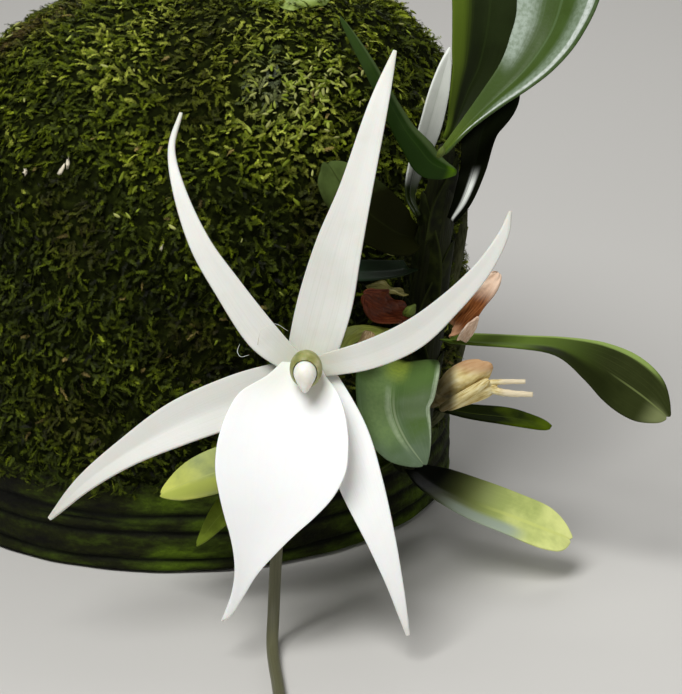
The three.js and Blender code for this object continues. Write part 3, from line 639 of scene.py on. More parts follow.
BUDS = 170
draw = np.random.default_rng(11)
crowded = np.stack([draw.normal(-66, 7, BUDS), draw.normal(0.655, 0.045, BUDS)], axis=1)
strays = np.stack([draw.uniform(-180, 180, BUDS), draw.uniform(0.2, 0.9, BUDS)], axis=1)
bud_tints = np.array([colour(code)[:3] for code in ("#7A8A26", "#94A044", "#A2A660", "#66721C")])
pebbles("moss_buds", np.concatenate([crowded, strays]),
        draw.uniform(0.22, 0.55, (2 * BUDS, 1)) * np.array([1.2, 0.45]),
        bud_tints[draw.integers(0, 4, 2 * BUDS)] * draw.uniform(0.6, 1.15, (2 * BUDS, 1)), draw)
SCRAPS = [(-115.3, 0.535), (-115.9, 0.522), (-124.0, 0.509), (-92.0, 0.396)]
pebbles("white_scraps", SCRAPS, [(0.8, 0.3), (0.55, 0.3), (0.35, 0.2), (0.3, 0.14)],
        [colour("#D8CFB8")[:3]] * len(SCRAPS), draw, ragged=0.55)

FILM_ANGLE = -44.0
FILM_SHARE = 0.88
FILM_TURNS = 72
FILM_RINGS = 16
turn = np.linspace(0, 2 * math.pi, FILM_TURNS, endpoint=False)
ragged = 1 + 0.1 * np.sin(3 * turn) + 0.07 * np.sin(7 * turn + 1) + 0.05 * np.sin(16 * turn)
film_rows = []
for reach in np.linspace(0, 1, FILM_RINGS):
    angle = np.radians(FILM_ANGLE) + 0.8 * reach * ragged * np.cos(turn)
    share = FILM_SHARE + 0.05 * reach * ragged * np.sin(turn)
    film_rows.append(moss_surface(angle, share, 1.2 * reach ** 3 - 0.65))
film_green = blotched("green_film", 0.5, 2.0, 5.0, [(0.3, "#5A6C20"), (0.5, "#7C903C"), (0.72, "#9CAE5C")],
                      strength=0.6, depth=0.4)
mesh_object("green_film", film_rows, film_green, "moss", faces=closed_faces(FILM_RINGS, FILM_TURNS)[:-2])
print("buds:", 2 * BUDS, "scraps:", len(SCRAPS))

# %% [markdown]
# ## Clay pot and its algae
# The pot is unglazed clay that never dries, so a film of green algae has grown over its foot. The grooves
# between its turned ridges get painted shade, nearly black. A thin skin stands over the pot's foot for
# it, finer than the solid under it, and the clay itself gets a matt brown finish with soft stains.

# %% Clay and algae finishes
clay, tree = finish("unglazed_clay", 0.9)
place = add(tree, "TexCoord", out="Object")
stains = add(tree, "TexNoise", {"Vector": place, "Size": 7.143, "Detail": 6.0})
grit = add(tree, "TexNoise", {"Vector": place, "Size": 0.4})
dress(tree, add(tree, "ValToRGB", [stains], [(0.3, "#3A2C1E"), (0.7, "#7A5B40")]), grit, 0.4, 0.2)

algae, tree = finish("clay_with_algae", 0.85, Specular_IOR_Level=0.15)
place = add(tree, "TexCoord", out="Object")
spread = add(tree, "Mapping", {"Vector": place, "Scale": (1, 1, 2.6)})
patches = add(tree, "TexNoise", {"Vector": spread, "Size": 10.53, "Detail": 8.0, "Roughness": 0.65})
shade = add(tree, "ValToRGB", [patches], [(0.36, "#0B0B04"), (0.47, "#1C2004"), (0.57, "#34420A"),
                                          (0.68, "#4E640E"), (0.8, "#35341A")])
# Painted shade: the grooves are darkened nearly to black.
groove_shade = add(tree, "Attribute", out="Fac", attribute_name="groove_shade")
shade = add(tree, "Mix", {0: groove_shade, 6: shade, 7: colour("#060703")}, data_type="RGBA")
specks = add(tree, "TexVoronoi", {"Vector": place, "Size": 2.381})
speck = add(tree, "Math", [specks, 0.13], operation="LESS_THAN")
rare = add(tree, "Math", [specks.node.outputs["Color"], 0.9], operation="GREATER_THAN")
grain = add(tree, "Math", [speck, rare], operation="MULTIPLY")
shade = add(tree, "Mix", {0: grain, 6: shade, 7: colour("#8E7B58")}, data_type="RGBA")
fine = add(tree, "TexNoise", {"Vector": place, "Size": 0.7143, "Detail": 5.0})
dress(tree, shade, fine, 0.7, 0.4)


def refinish(name, material):
    """Gives a solid that is kept as it is a finish of its own."""
    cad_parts[name].data.materials.clear()
    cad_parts[name].data.materials.append(material)


refinish("pot", clay)
print("finishes so far:", len(bpy.data.materials))

# %% Algae skin
SKIN_TURNS = 260
SKIN_TOP = 13.0
SKIN_STANDS_OUT = 0.62
SKIN_TUCKS_IN = 0.6
GROOVES = [(1.9, 0.35), (4.9, 0.42), (7.6, 0.5)]
heights = np.concatenate([[0.15], np.linspace(0.5, SKIN_TOP, 42)])
turn, height = np.meshgrid(np.linspace(0, 2 * math.pi, SKIN_TURNS, endpoint=False), heights)
sunk = np.zeros_like(turn)
for level, width in GROOVES:
    wander = level + 0.25 * np.sin(2 * turn + level) + 0.12 * np.sin(9 * turn + 2 * level)
    sunk = np.maximum(sunk, np.exp(-((height - wander) / width) ** 2))
scratch = 6.9 - 1.2 * (turn - 4.1) + 0.1 * np.sin(13 * turn)
near = np.exp(-((turn - 4.35) / 0.3) ** 2)
sunk = np.maximum(sunk, near * np.exp(-((height - scratch) / 0.3) ** 2))
lumps = 0.05 * np.sin(31 * turn + 2 * height) + 0.06 * np.sin(17 * turn - 3 * height) * np.sin(2.3 * height)
radius = POT_BELLY_RADIUS + SKIN_STANDS_OUT + lumps - 0.45 * sunk
radius[[0, -1]] = POT_BELLY_RADIUS - SKIN_TUCKS_IN
skin_points = np.stack([radius * np.cos(turn), radius * np.sin(turn), height], axis=-1)
mesh_object("algae_skin", skin_points, algae, "clay", faces=grid_faces(len(heights), SKIN_TURNS).tolist(),
            fields={"groove_shade": sunk})
print("algae skin reaches", SKIN_TOP, "mm up the pot")

# %% [markdown]
# The potting mix under the moss is chopped bark. It only shows through the drain holes, so chips of their own
# would be wasted. Its solid stays and gets a coarse dark finish of cells as large as the chips.

# %% Potting mix
CHIP_SIZE = 2.857
refinish("potting_mix", blotched("chopped_bark", 0.95, CHIP_SIZE, 0.0, [(0.1, "#4A3322"), (0.7, "#150E09")],
                                 strength=0.8, depth=1.0, kind="TexVoronoi"))
print("bark chips about", round(CHIP_SIZE, 1), "mm")

# %% [markdown]
# ## Stem and roots
# The stem is short and wrapped in the papery sheaths of old leaves, one above another. Thick roots leave its
# foot and grip the moss. They have a spongy grey skin that looks dry and slightly streaked. One finish does
# both, with a noise drawn out along the tube instead of lines, because fibres start and stop.

# %% Stem and root finishes
STEM_POINTS = [
    (28.6, -23.0, 9.5), (29.3, -24.6, 16.5), (30.1, -25.6, 23.5), (30.7, -26.6, 30.3), (31.2, -27.8, 37.0),
    (31.8, -29.2, 43.6), (32.4, -30.6, 49.0), (32.8, -32.0, 53.2),
]
STEM_RADII = [1.6, 2.1, 2.2, 2.2, 2.1, 1.9, 1.6, 1.0]
SHEATHS = 5


def fibrous(name, dark, light, roughness, rings, **shader):
    """Tissue with fine streaks along it, for a stem, a root or a stalk."""
    material, tree = finish(name, roughness, **shader)
    threads = streaked(tree, 9.0, rings, 5.0)[2]
    dress(tree, add(tree, "ValToRGB", [threads], [(0.3, dark), (0.7, light)]), threads)
    return material


# Painted shade: the stem's tones are nearly black, as it stands in the shade of the leaves.
stem_skin = fibrous("sheathed_stem", "#0E1004", "#23280B", 0.7, 12.0, Specular_IOR_Level=0.15)
root_skin = fibrous("spongy_root", "#23260F", "#54563A", 0.9, 20.0, Specular_IOR_Level=0.1)
stalk_skin = fibrous("green_stalk", "#7E8A2C", "#B5BE58", 0.45, 6.0)
spur_skin = fibrous("pale_spur", "#58573E", "#6C6B50", 0.45, 2.0)
print("fibrous finishes: stem, root, stalk, spur")

# %% [markdown]
# The sheaths are the folded feet of the leaves. They stand in two ranks, left and right, and each clasps the
# stem with its margins meeting on the far side, so the margins show as thin pale lines that slant to and fro.

# %% Stem and roots
tube("stem_core", stem_skin, "stem", ["stem"], STEM_POINTS, STEM_RADII, sides=28, steps=90, rough=0.05)

sheath_skin, tree = finish("leaf_sheath", 0.75, Specular_IOR_Level=0.1)
across = add(tree, "Attribute", out="Fac", attribute_name="across")
blots = add(tree, "TexNoise", {"Vector": add(tree, "TexCoord", out="Object"), "Size": 1.429, "Detail": 5.0})
# Painted shade: the sheaths are nearly black.
shade = add(tree, "ValToRGB", [blots], [(0.3, "#0C0E04"), (0.5, "#171C06"), (0.72, "#282F0C")])
margin = add(tree, "Math", [across], operation="ABSOLUTE")
dress(tree, layer(tree, shade, "#2A3110", (margin, 0.93, 1.0), most=0.8), blots, 0.4)

for number in range(SHEATHS):
    shares = 0.03 + 0.16 * number + np.array([0, 0.1, 0.2, 0.3])
    spine, wide = smooth(STEM_POINTS, shares), smooth(STEM_RADII, shares)
    hand = -1 if number % 2 else 1
    spine[:, 0] += hand * wide * np.array([1.05, 1.08, 1.1, 1.2])
    girth = wide * np.array([2.0, 2.05, 1.9, 1.0])
    blade(f"sheath_{number + 1}", sheath_skin, "stem", [], stations=np.column_stack([spine, girth]),
          faces=[(-hand, -0.25, 0), (-hand, -0.25, 0.1)], fold=[63, 60, 40], keel=0.35, thick=0.3, edge=0.12,
          steps=30)

ROOT_RAISED = -0.35
ROOTS = {
    "root_1": [(-35, 12.8), (-25, 13.6), (-11, 16.5), (6, 21), (23, 23), (38, 27)],
    "root_2": [(-43.5, 24), (-49, 27), (-57, 29), (-66, 28), (-74, 25)],
    "root_3": [(-37, 23.8), (-26, 25.5), (-11, 32), (1, 36), (14, 37)],
}


def on_moss(degrees, height, raised):
    """A point on the cushion at a height, as the solid roots are placed."""
    angle = math.radians(degrees)
    radius, slide = (np.interp(height, MOSS_PROFILE[:, 0], MOSS_PROFILE[:, k]) for k in (1, 2))
    reach = radius + moss_lump(angle, height) + raised
    return (reach * math.cos(angle) + slide, reach * math.sin(angle), height)


for name, places in ROOTS.items():
    path = [on_moss(degrees, height, ROOT_RAISED) for degrees, height in places]
    tube(name + "_fine", root_skin, "root", [name], path, [0.8, 1.0, 1.0, 0.9, 0.6], sides=18, rough=0.08)
print("roots:", len(ROOTS))

# %% [markdown]
# ## Leaves
# The leaves are waxy and folded along the midrib, with two unequal lobes at the tip. An image could dress
# each one, but it would blur in a close-up. One finish does them all instead: a colour that changes along the
# leaf, faint parallel veins, darker clouds, bands of painted highlight, painted reflection and painted shade
# that run along the leaf, a lighter midrib, and a thin coat for the wax.


# %% Leaf finish
def centred(tree, noise, reach):
    """A noise stretched so that it lies from minus the reach to the reach."""
    return add(tree, "MapRange", [noise, 0.3, 0.7, -reach, reach])


def waxy_leaf(name, base, far, rib="#8E9A50", rib_from=0.0, rib_width=0.05, bands=(), foot=None, streaks=0.16,
              clouds=0.15, band_speckle=0.0, roughness=0.5, gloss=0.15):
    """A leaf's skin. Bands are painted highlights, painted reflections and painted shade, each (its place
    across, its half width, its colour, where it starts and where it ends along). The foot is (how far along
    it reaches, its colour), and on some leaves it is painted shade. The speckle breaks the bands up into
    specks."""
    material, tree = finish(name, roughness, Specular_IOR_Level=gloss, Coat_Weight=gloss * 0.4,
                            Coat_Roughness=0.35)
    across, along, fibres = streaked(tree, 26.0, 2.5, 3.0)
    place = add(tree, "TexCoord", out="Object")
    cloud = add(tree, "TexNoise", {"Vector": place, "Size": 3.333, "Detail": 5.0})
    wander = add(tree, "Math", [along, centred(tree, cloud, 0.16)], operation="ADD")
    shade = add(tree, "ValToRGB", [wander], [(0.05, base), (0.55, base), (0.95, far)])
    shade = layer(tree, shade, rib, (fibres, 0.5, 0.75), most=streaks)
    shade = layer(tree, shade, "#141A0A", (cloud, 0.5, 0.3), most=clouds)
    if foot:
        shade = layer(tree, shade, foot[1], (along, foot[0], foot[0] * 0.35))
    ragged = add(tree, "Math", [across, centred(tree, fibres, 0.035)], operation="ADD")
    speckle_noise = add(tree, "TexNoise", {"Vector": place, "Size": 0.4545, "Detail": 3.0})
    specks = add(tree, "MapRange", [speckle_noise, 0.35, 0.6, 1 - band_speckle, 1.0])
    # Painted highlights, reflections and shade, in bands along the leaf.
    for centre, width, code, begin, end in bands:
        away = add(tree, "Math", [ragged, centre], operation="SUBTRACT")
        away = add(tree, "Math", [away], operation="ABSOLUTE")
        shade = layer(tree, shade, code, (away, width, width * 0.25), (along, begin - 0.06, begin + 0.06),
                      (along, end + 0.08, end - 0.06), most=specks)
    from_rib = add(tree, "Math", [across], operation="ABSOLUTE")
    shade = layer(tree, shade, rib, (from_rib, rib_width, rib_width * 0.3), (along, rib_from, rib_from + 0.2),
                  most=0.6)
    pores = add(tree, "TexNoise", {"Vector": place, "Size": 0.3333, "Detail": 3.0})
    dress(tree, shade, add(tree, "Mix", {0: 0.4, 2: pores, 3: fibres}), 0.3, 0.1)
    return material


print("leaf finish ready")

# %% [markdown]
# Each leaf keeps its own stations and its own tones, because some stand in the light and get painted
# highlights and reflections, some are young and yellow-green, and the ones deep in the plant get painted
# shade.

# %% The upper leaves
LEAVES = {
    "leaf_01": dict(
        stations=[(32.8, -29.8, 53.6, 1.2), (33.6, -29.5, 54.9, 2.0), (34.4, -28.8, 56.9, 3.4),
                  (35.4, -28.2, 59.4, 5.2), (36.5, -27.9, 61.9, 7.2), (37.2, -27.7, 64.9, 8.6),
                  (37.7, -27.4, 68.4, 9.6), (37.8, -26.7, 72.8, 9.6), (37.7, -25.8, 77.4, 6.0)],
        faces=[(0.2, -1, 0), (0.2, -0.9, 0.1)], fold=[35, 24, 16], keel=0.8, lobes=(1.6, 0.8)),
    "leaf_02": dict(
        stations=[(32.4, -34.0, 53.2, 1.0), (33.7, -33.8, 54.7, 1.3), (35.5, -33.6, 56.7, 1.9),
                  (38.5, -33.3, 59.6, 3.5), (41.2, -32.9, 62.1, 5.4), (43.3, -32.4, 64.6, 7.5),
                  (45.1, -31.6, 67.6, 9.2), (46.3, -30.6, 71.5, 10.8), (47.0, -29.5, 75.8, 9.8),
                  (47.3, -28.3, 79.7, 5.6)],
        faces=[(-0.6, -0.7, 0.4), (-0.5, -0.8, 0.4)], fold=[35, 22, 12], lobes=(1.4, 0.8)),
    "leaf_03": dict(
        stations=[(33.5, -32.5, 44.6, 1.2), (34.9, -33.0, 47.3, 2.4), (36.2, -31.3, 50.5, 3.3),
                  (37.3, -28.0, 54.2, 4.6), (39.5, -26.0, 57.2, 4.6), (40.6, -25.0, 59.6, 2.8)],
        faces=[(-0.4, -0.8, 0.3), (-0.4, -0.8, 0.3)], fold=[20, 20, 15], lobes=(1.0, 0.5)),
    "leaf_04": dict(
        stations=[(29.5, -31.2, 44.6, 0.8), (28.5, -29.5, 46.6, 1.3), (29.1, -29.0, 50.1, 2.3),
                  (30.4, -30.2, 54.8, 3.1), (31.4, -31.5, 59.1, 2.9), (32.2, -32.3, 62.4, 2.0),
                  (33.0, -32.9, 65.5, 0.5)],
        faces=[(0.5, -0.7, 0.3), (0.4, -0.8, 0.3)], fold=[35, 25, 15]),
    "leaf_05": dict(
        stations=[(33.9, -34.4, 51.0, 0.7), (32.2, -35.3, 51.7, 2.6), (30.7, -36.1, 52.8, 3.6),
                  (29.3, -36.9, 54.8, 3.1), (27.9, -37.5, 56.8, 2.5), (26.5, -38.0, 59.4, 2.1),
                  (24.9, -38.2, 62.5, 1.7), (22.9, -38.4, 66.2, 1.3), (20.5, -38.0, 70.1, 0.7)],
        faces=[(0.1, -0.9, 0.4), (0.1, -0.9, 0.4)], fold=[-20, -30, -20], keel=0.9, lobes=(0.3, 0.8)),
    "leaf_06": dict(
        stations=[(29.1, -31.0, 41.8, 2.8), (27.0, -34.0, 43.4, 5.6), (23.9, -36.5, 46.4, 7.2),
                  (20.9, -37.5, 49.8, 6.4), (19.0, -36.5, 52.5, 3.6)],
        faces=[(0.2, -0.8, 0.5), (0.3, -0.8, 0.4)], lobes=(1.2, 0.5)),
    "leaf_07": dict(
        stations=[(28.6, -29.6, 37.4, 2.4), (26.4, -32.4, 38.0, 3.2), (23.0, -35.0, 38.8, 3.4),
                  (19.8, -36.0, 39.2, 2.2)],
        faces=[(0, -0.4, 0.9), (0, -0.5, 0.8)], fold=[30, 20, 10], lobes=(0.6, 0.3)),
}
LEAF_TONES = {
    # Painted shade: leaf_01 is darkened as a leaf in shade.
    "leaf_01": dict(base="#1B2408", far="#232E10", rib="#293614", foot=(0.2, "#2C3A08"), gloss=0.1,
                    bands=[(-0.9, 0.5, "#566A1A", -1, 2)]),
    # Painted reflections: the pale bands on leaf_02 stand for the sheen of its wax.
    "leaf_02": dict(base="#3E5220", far="#485E30", rib="#566C44", foot=(0.3, "#50641E"), roughness=0.4,
                    streaks=0.1, clouds=0.08, band_speckle=0.4,
                    bands=[(-0.9, 0.6, "#9CAA9A", 0.45, 2), (0.72, 0.4, "#82927C", 0.3, 2),
                           (0.82, 0.14, "#CCD4CC", 0.16, 0.9), (1.0, 0.1, "#3A4E22", -1, 2)]),
    # Painted shade makes leaf_03 nearly black, and a painted highlight lies near its foot.
    "leaf_03": dict(base="#080B02", far="#0B1004", rib="#10160A", gloss=0.02, roughness=0.9,
                    bands=[(0.2, 0.5, "#EEF2EA", -0.05, 0.34)]),
    # Painted reflection makes leaf_04 nearly white, with a painted highlight band; its foot gets painted
    # shade.
    "leaf_04": dict(base="#F0F4EC", far="#F2F6EE", rib="#D2DACC", roughness=0.45, foot=(0.56, "#1C2608"),
                    streaks=0.3, clouds=0.05, band_speckle=0.3, bands=[(-0.8, 0.6, "#F4F8F0", 0.28, 0.5)]),
    "leaf_05": dict(base="#1C3404", far="#2E4218", rib="#2C4412", foot=(0.11, "#4A6C04"), gloss=0.08,
                    bands=[(0.8, 0.5, "#4A5C34", -1, 2)]),
    # Painted shade: leaf_06 is nearly black at its foot, deep in the plant.
    "leaf_06": dict(base="#161804", far="#47562A", rib="#22270D", gloss=0.03, roughness=0.8),
    "leaf_07": dict(base="#1A2716", far="#263426", rib="#2E4030", gloss=0.08),
}
for name, shape in LEAVES.items():
    blade(name + "_fine", waxy_leaf(name + "_wax", **LEAF_TONES[name]), "leaf", [name], **shape)
print("upper leaves:", len(LEAVES))

# %% The lower leaves
LOWER_LEAVES = {
    "leaf_08": dict(
        stations=[(33.4, -28.2, 27.8, 2.6), (36.4, -31.0, 28.6, 2.8), (41.8, -33.6, 29.3, 2.8),
                  (46.3, -35.6, 29.6, 3.1), (50.1, -36.6, 28.2, 5.7), (53.2, -37.2, 26.3, 7.4),
                  (56.2, -37.6, 24.2, 6.8), (59.0, -38.0, 21.9, 3.6)],
        faces=[(0, -0.1, 1), (0, -0.2, 1), (0.3, -0.6, 0.7), (0.5, -0.8, 0.4), (0.5, -0.9, 0.3)],
        fold=[30, 14, 8], lobes=(0.8, 0.4)),
    "leaf_09": dict(
        stations=[(29.5, -28.75, 25.0, 2.6), (28.2, -34.0, 27.1, 5.6), (27.3, -39.6, 28.2, 9.2),
                  (26.6, -43.4, 27.0, 9.4), (26.7, -45.4, 25.0, 8.4), (27.9, -46.6, 22.5, 6.8),
                  (30.0, -46.6, 19.4, 2.8)],
        faces=[(0.1, 0, 1), (0.15, 0, 1), (0.1, -0.9, 0.4), (0.1, -1, 0.1)], fold=[20, 18, 10],
        lobes=(0.7, 0.4), wave=0.4),
    "leaf_10": dict(
        stations=[(32.6, -26.0, 18.2, 2.2), (36.2, -28.5, 18.4, 3.6), (41.0, -30.0, 18.4, 4.0),
                  (45.8, -30.2, 17.5, 2.2)],
        faces=[(0, -0.1, 1), (0.2, -0.2, 1)], fold=[25, 14, 8], lobes=(0.6, 0.3)),
    "leaf_11": dict(
        stations=[(29.5, -25.3, 9.8, 2.2), (31.9, -30.4, 10.0, 4.6), (36.4, -34.0, 9.1, 6.0),
                  (40.9, -35.5, 7.9, 6.2), (45.0, -36.0, 6.4, 6.0), (48.1, -35.4, 4.9, 3.8)],
        faces=[(0, -0.5, 0.9), (0.2, -0.6, 0.8)], lobes=(0.9, 0.4)),
    "leaf_12": dict(
        stations=[(26.4, -27.4, 14.8, 2.6), (21.4, -34.3, 16.2, 5.2), (15.6, -39.2, 17.2, 6.2),
                  (9.5, -42.6, 17.6, 6.2), (3.9, -44.0, 16.4, 5.3), (-0.5, -43.5, 14.3, 2.2)],
        faces=[(0, -0.5, 0.9), (-0.1, -0.7, 0.7)], lobes=(0.8, 0.4)),
    "leaf_13": dict(
        stations=[(25.8, -27.2, 11.8, 2.4), (20.4, -34.4, 12.2, 4.4), (14.4, -40.0, 13.3, 4.8),
                  (8.0, -43.2, 12.9, 3.8), (3.6, -44.4, 8.3, 1.2)],
        faces=[(0, -0.5, 0.9), (-0.3, -0.7, 0.6)], lobes=(0.7, 0.3)),
}
LOWER_TONES = {
    # Painted shade darkens one half of leaf_08, and a painted highlight runs along its upper edge.
    "leaf_08": dict(base="#242B0C", far="#2E3514", rib="#7C8850", rib_from=0.62, gloss=0.06, roughness=0.6,
                    foot=(0.66, "#5A7028"), streaks=0.07,
                    bands=[(0.7, 0.7, "#1E2408", 0.34, 0.7), (-0.95, 0.17, "#8AA055", -1, 0.85),
                           (0.5, 0.9, "#7E8658", 0.92, 2)]),
    # Painted shade darkens the foot of leaf_09 and one margin near it.
    "leaf_09": dict(base="#506C36", far="#667A5E", rib="#A0AE88", rib_from=0.45, roughness=0.4, band_speckle=0.3,
                    foot=(0.4, "#1C240A"),
                    bands=[(0.4, 0.6, "#748E56", 0.25, 0.8), (-0.6, 0.6, "#567038", 0.2, 0.85),
                           (0.05, 0.45, "#94A844", 0.2, 0.4), (0.16, 0.12, "#98AA84", 0.5, 0.86),
                           (-0.98, 0.09, "#A8B898", 0.35, 0.95), (-0.98, 0.25, "#1E2C10", 0.16, 0.34)]),
    "leaf_10": dict(base="#161E02", far="#566A08", rib="#4C5C18", gloss=0.03, roughness=0.8),
    # Painted shade: the foot of leaf_11 is nearly black.
    "leaf_11": dict(base="#B0BE6C", far="#F2F8A0", rib="#D8E080", rib_width=0.12, rib_from=0.4, clouds=0.04,
                    foot=(0.56, "#070903"), bands=[(0.8, 0.5, "#AAB8A4", 0.32, 0.66)]),
    "leaf_12": dict(base="#7C8C5C", far="#CCD268", rib="#B8C26A", clouds=0.08,
                    bands=[(-0.5, 0.6, "#B4BE58", 0.6, 2)]),
    "leaf_13": dict(base="#333F08", far="#76882A", rib="#7C8C3A", gloss=0.08),
}
for name, shape in LOWER_LEAVES.items():
    blade(name + "_fine", waxy_leaf(name + "_wax", **LOWER_TONES[name]), "leaf", [name], **shape)
print("lower leaves:", len(LOWER_LEAVES))

# %% [markdown]
# Two young side buds sit in the corners between leaves and stem. They are small, plump and bright green, and
# each is a tube of three points that swells in its middle.

# %% Side buds
young_skin = fibrous("young_bud", "#38480A", "#62721C", 0.7, 3.0)
SIDE_BUDS = {
    "side_bud_1": ([(31.6, -38.0, 53.9), (32.0, -38.3, 54.6), (32.2, -38.3, 55.3)], [0.22, 0.45, 0.12]),
    "side_bud_2": ([(28.0, -35.6, 34.0), (28.6, -36.4, 34.6), (29.2, -36.8, 35.5)], [0.35, 0.65, 0.15]),
}
for name, (path, radii) in SIDE_BUDS.items():
    tube(name, young_skin, "leaf", [], path, radii, sides=16, steps=30)
print("side buds:", len(SIDE_BUDS))

# %% [markdown]
# ## Dry bracts, spent flower and stalk
# Bracts are small papery leaves that have dried to brown. The spent flower hangs beside the stem as a
# shrivelled cream-coloured scrap. Dry tissue has no wax, so it is matt, with crinkled streaks.


# %% Dry finishes
def papery(name, dark, middle, light, roughness=0.7, browning_and_light=()):
    """Dry plant tissue: streaks along it and a crinkled surface. Each turn lays another colour over one side:
    browning on some pieces, painted light on the pink bract. It is (axis, where it starts and where it is
    full, in mm, colour)."""
    material, tree = finish(name, roughness, Specular_IOR_Level=0.15)
    streaks = streaked(tree, 8.4, 3.6, 6.0)[2]
    shade = add(tree, "ValToRGB", [streaks], [(0.32, dark), (0.5, middle), (0.68, light)])
    place = add(tree, "TexCoord", out="Object")
    for axis, start, full, code in browning_and_light:
        level = add(tree, "SeparateXYZ", [place], out=axis)
        shade = layer(tree, shade, code, (level, start * MM, full * MM), most=0.85)
    dress(tree, shade, add(tree, "TexNoise", {"Vector": place, "Size": 0.6667, "Detail": 4.0}))
    return material


brown_paper = papery("brown_bract", "#38160A", "#582815", "#6E3A20", 0.45)
# Painted light: the pale peach at both ends of the pink bract.
pink_paper = papery("pink_brown_bract", "#3E1C0A", "#7C4620", "#A87044",
                    browning_and_light=[("Z", 35.2, 38.0, "#F0D4BA"), ("Z", 32.2, 30.4, "#E4B088")])
pale_paper = papery("beige_bract", "#8A6A42", "#B69A70", "#D9C8A4")
rim_paper = papery("yellowish_rim", "#6E6A2E", "#A09A58", "#C8C28C")
flap_paper = papery("pinkish_bract", "#C49A7E", "#E0C2AA", "#F0E0D2")
spent_paper = papery("shrivelled_petal", "#B89A54", "#E8D698", "#F8EEC2", 0.55,
                     browning_and_light=[("Z", 26.9, 28.2, "#B88C66"), ("X", 34.6, 33.2, "#3A2E1A"),
                            ("X", 38.6, 40.0, "#F0E2C4")])
print("dry finishes: brown, pink, beige, yellowish, pinkish, cream")

# %% Bracts, stalk and spur
BRACTS = {
    "bract_brown": (brown_paper, dict(
        stations=[(28.2, -31.8, 32.6, 2.4), (26.4, -34.6, 33.8, 3.2), (24.5, -37.0, 35.4, 4.0),
                  (23.0, -38.0, 37.1, 2.4)],
        faces=[(0.3, -0.7, 0.6), (0.5, -0.7, 0.4)], fold=[30, 25, 15], keel=0.2, wave=0.5)),
    "bract_pale": (pale_paper, dict(
        stations=[(22.6, -45.7, 32.3, 1.2), (23.2, -44.7, 33.6, 1.6), (23.8, -43.5, 34.6, 1.4)],
        faces=[(-0.3, -0.9, 0.3), (-0.3, -0.9, 0.3)], fold=[-25, -25, -10], keel=0.2)),
    "bract_pink": (pink_paper, dict(
        stations=[(34.0, -30.6, 30.2, 2.2), (34.7, -32.6, 31.9, 3.0), (36.0, -34.6, 34.6, 3.6),
                  (37.5, -35.4, 37.0, 3.0), (39.0, -35.4, 39.0, 1.4)],
        faces=[(-0.5, -0.6, 0.5), (-0.3, -0.9, 0.3)], fold=[35, 25, 10], keel=0.3, wave=0.3)),
    "bract_flap": (flap_paper, dict(
        stations=[(34.8, -34.6, 30.3, 1.2), (35.6, -36.0, 32.2, 1.4), (36.6, -37.1, 34.1, 0.4)],
        faces=[(0.2, -0.9, 0.4), (0.3, -0.9, 0.2)], fold=[20, 15, 5], keel=0.2)),
    "sheath_rim": (rim_paper, dict(
        stations=[(28.0, -30.7, 34.8, 1.1), (26.6, -32.4, 35.6, 1.3), (25.2, -33.9, 36.7, 1.2),
                  (23.5, -35.0, 37.1, 0.8)],
        faces=[(0, -0.6, 0.8), (0, -0.5, 0.9)], fold=[30, 30, 10], keel=0.1, wave=0.3)),
}
for name, (paper, shape) in BRACTS.items():
    crumple = 0.13 if name in ("bract_brown", "bract_pink") else 0.05
    blade(name + "_fine", paper, "dry_bract", [name], thick=0.35, edge=0.15, crumple=crumple, **shape)

STALK_POINTS = [
    (17.1, -47.1, 31.7), (19.4, -45.8, 32.4), (21.0, -43.8, 33.8), (22.8, -40.6, 33.4), (25.2, -36.6, 31.8),
    (27.6, -32.6, 30.2), (29.4, -29.6, 29.6),
]
STALK_RADII = [1.15, 1.2, 1.1, 0.9, 0.8, 0.8, 0.9]
tube("stalk_fine", stalk_skin, "stem", ["stalk"], STALK_POINTS, STALK_RADII, rough=0.06)
SPUR_POINTS = [
    (15.9, -48.4, 29.2), (15.0, -48.8, 25.5), (13.9, -49.8, 19.5), (13.2, -50.8, 13.5), (12.9, -51.8, 8.5),
    (12.7, -53.6, 4.2), (12.6, -57.0, 1.6), (12.9, -61.5, 0.9), (13.5, -67.5, 0.8), (14.0, -75.0, 0.8),
    (13.6, -83.0, 0.8), (11.6, -91.0, 0.8), (8.0, -98.0, 0.8),
]
SPUR_RADII = [1.0, 0.85, 0.75, 0.72, 0.7, 0.7, 0.7, 0.7, 0.7, 0.7, 0.68, 0.62, 0.4]
tube("spur_fine", spur_skin, "spur", ["spur"], SPUR_POINTS, SPUR_RADII, sides=24, steps=220, rough=0.02)
spur_length = sum(math.dist(a, b) for a, b in zip(SPUR_POINTS, SPUR_POINTS[1:]))
print("spur is about", round(spur_length), "mm long")

# %% [markdown]
# The spent flower has folded up. A broad brown-tipped sepal lies over two narrow ones, and two withered tips
# stick out of them like prongs. Each is a blade or a thin tube of its own, joined in one mesh.

# %% Spent flower
SPENT_STALK = [
    (31.5, -27.9, 20.0), (32.4, -31.6, 22.0), (33.2, -34.6, 24.0), (34.0, -36.2, 25.4), (35.0, -36.8, 26.0),
]
SPENT_SEPALS = [
    dict(stations=[(32.2, -36.8, 24.3, 1.6), (33.8, -37.6, 25.8, 3.2), (35.6, -38.2, 26.9, 3.6),
                   (37.4, -38.2, 27.9, 2.4), (38.3, -37.8, 28.4, 1.0)], fold=[-45, -40, -45]),
    dict(stations=[(32.2, -38.0, 22.7, 0.7), (34.0, -38.8, 24.1, 1.1), (36.0, -39.2, 25.5, 1.1),
                   (37.9, -39.0, 26.9, 0.7)], fold=[-50, -50, -40]),
    dict(stations=[(33.0, -37.8, 22.8, 0.9), (35.0, -38.5, 24.2, 1.7), (37.2, -38.8, 25.4, 2.0),
                   (38.9, -38.5, 26.0, 1.2)], fold=[-48, -45, -45]),
]
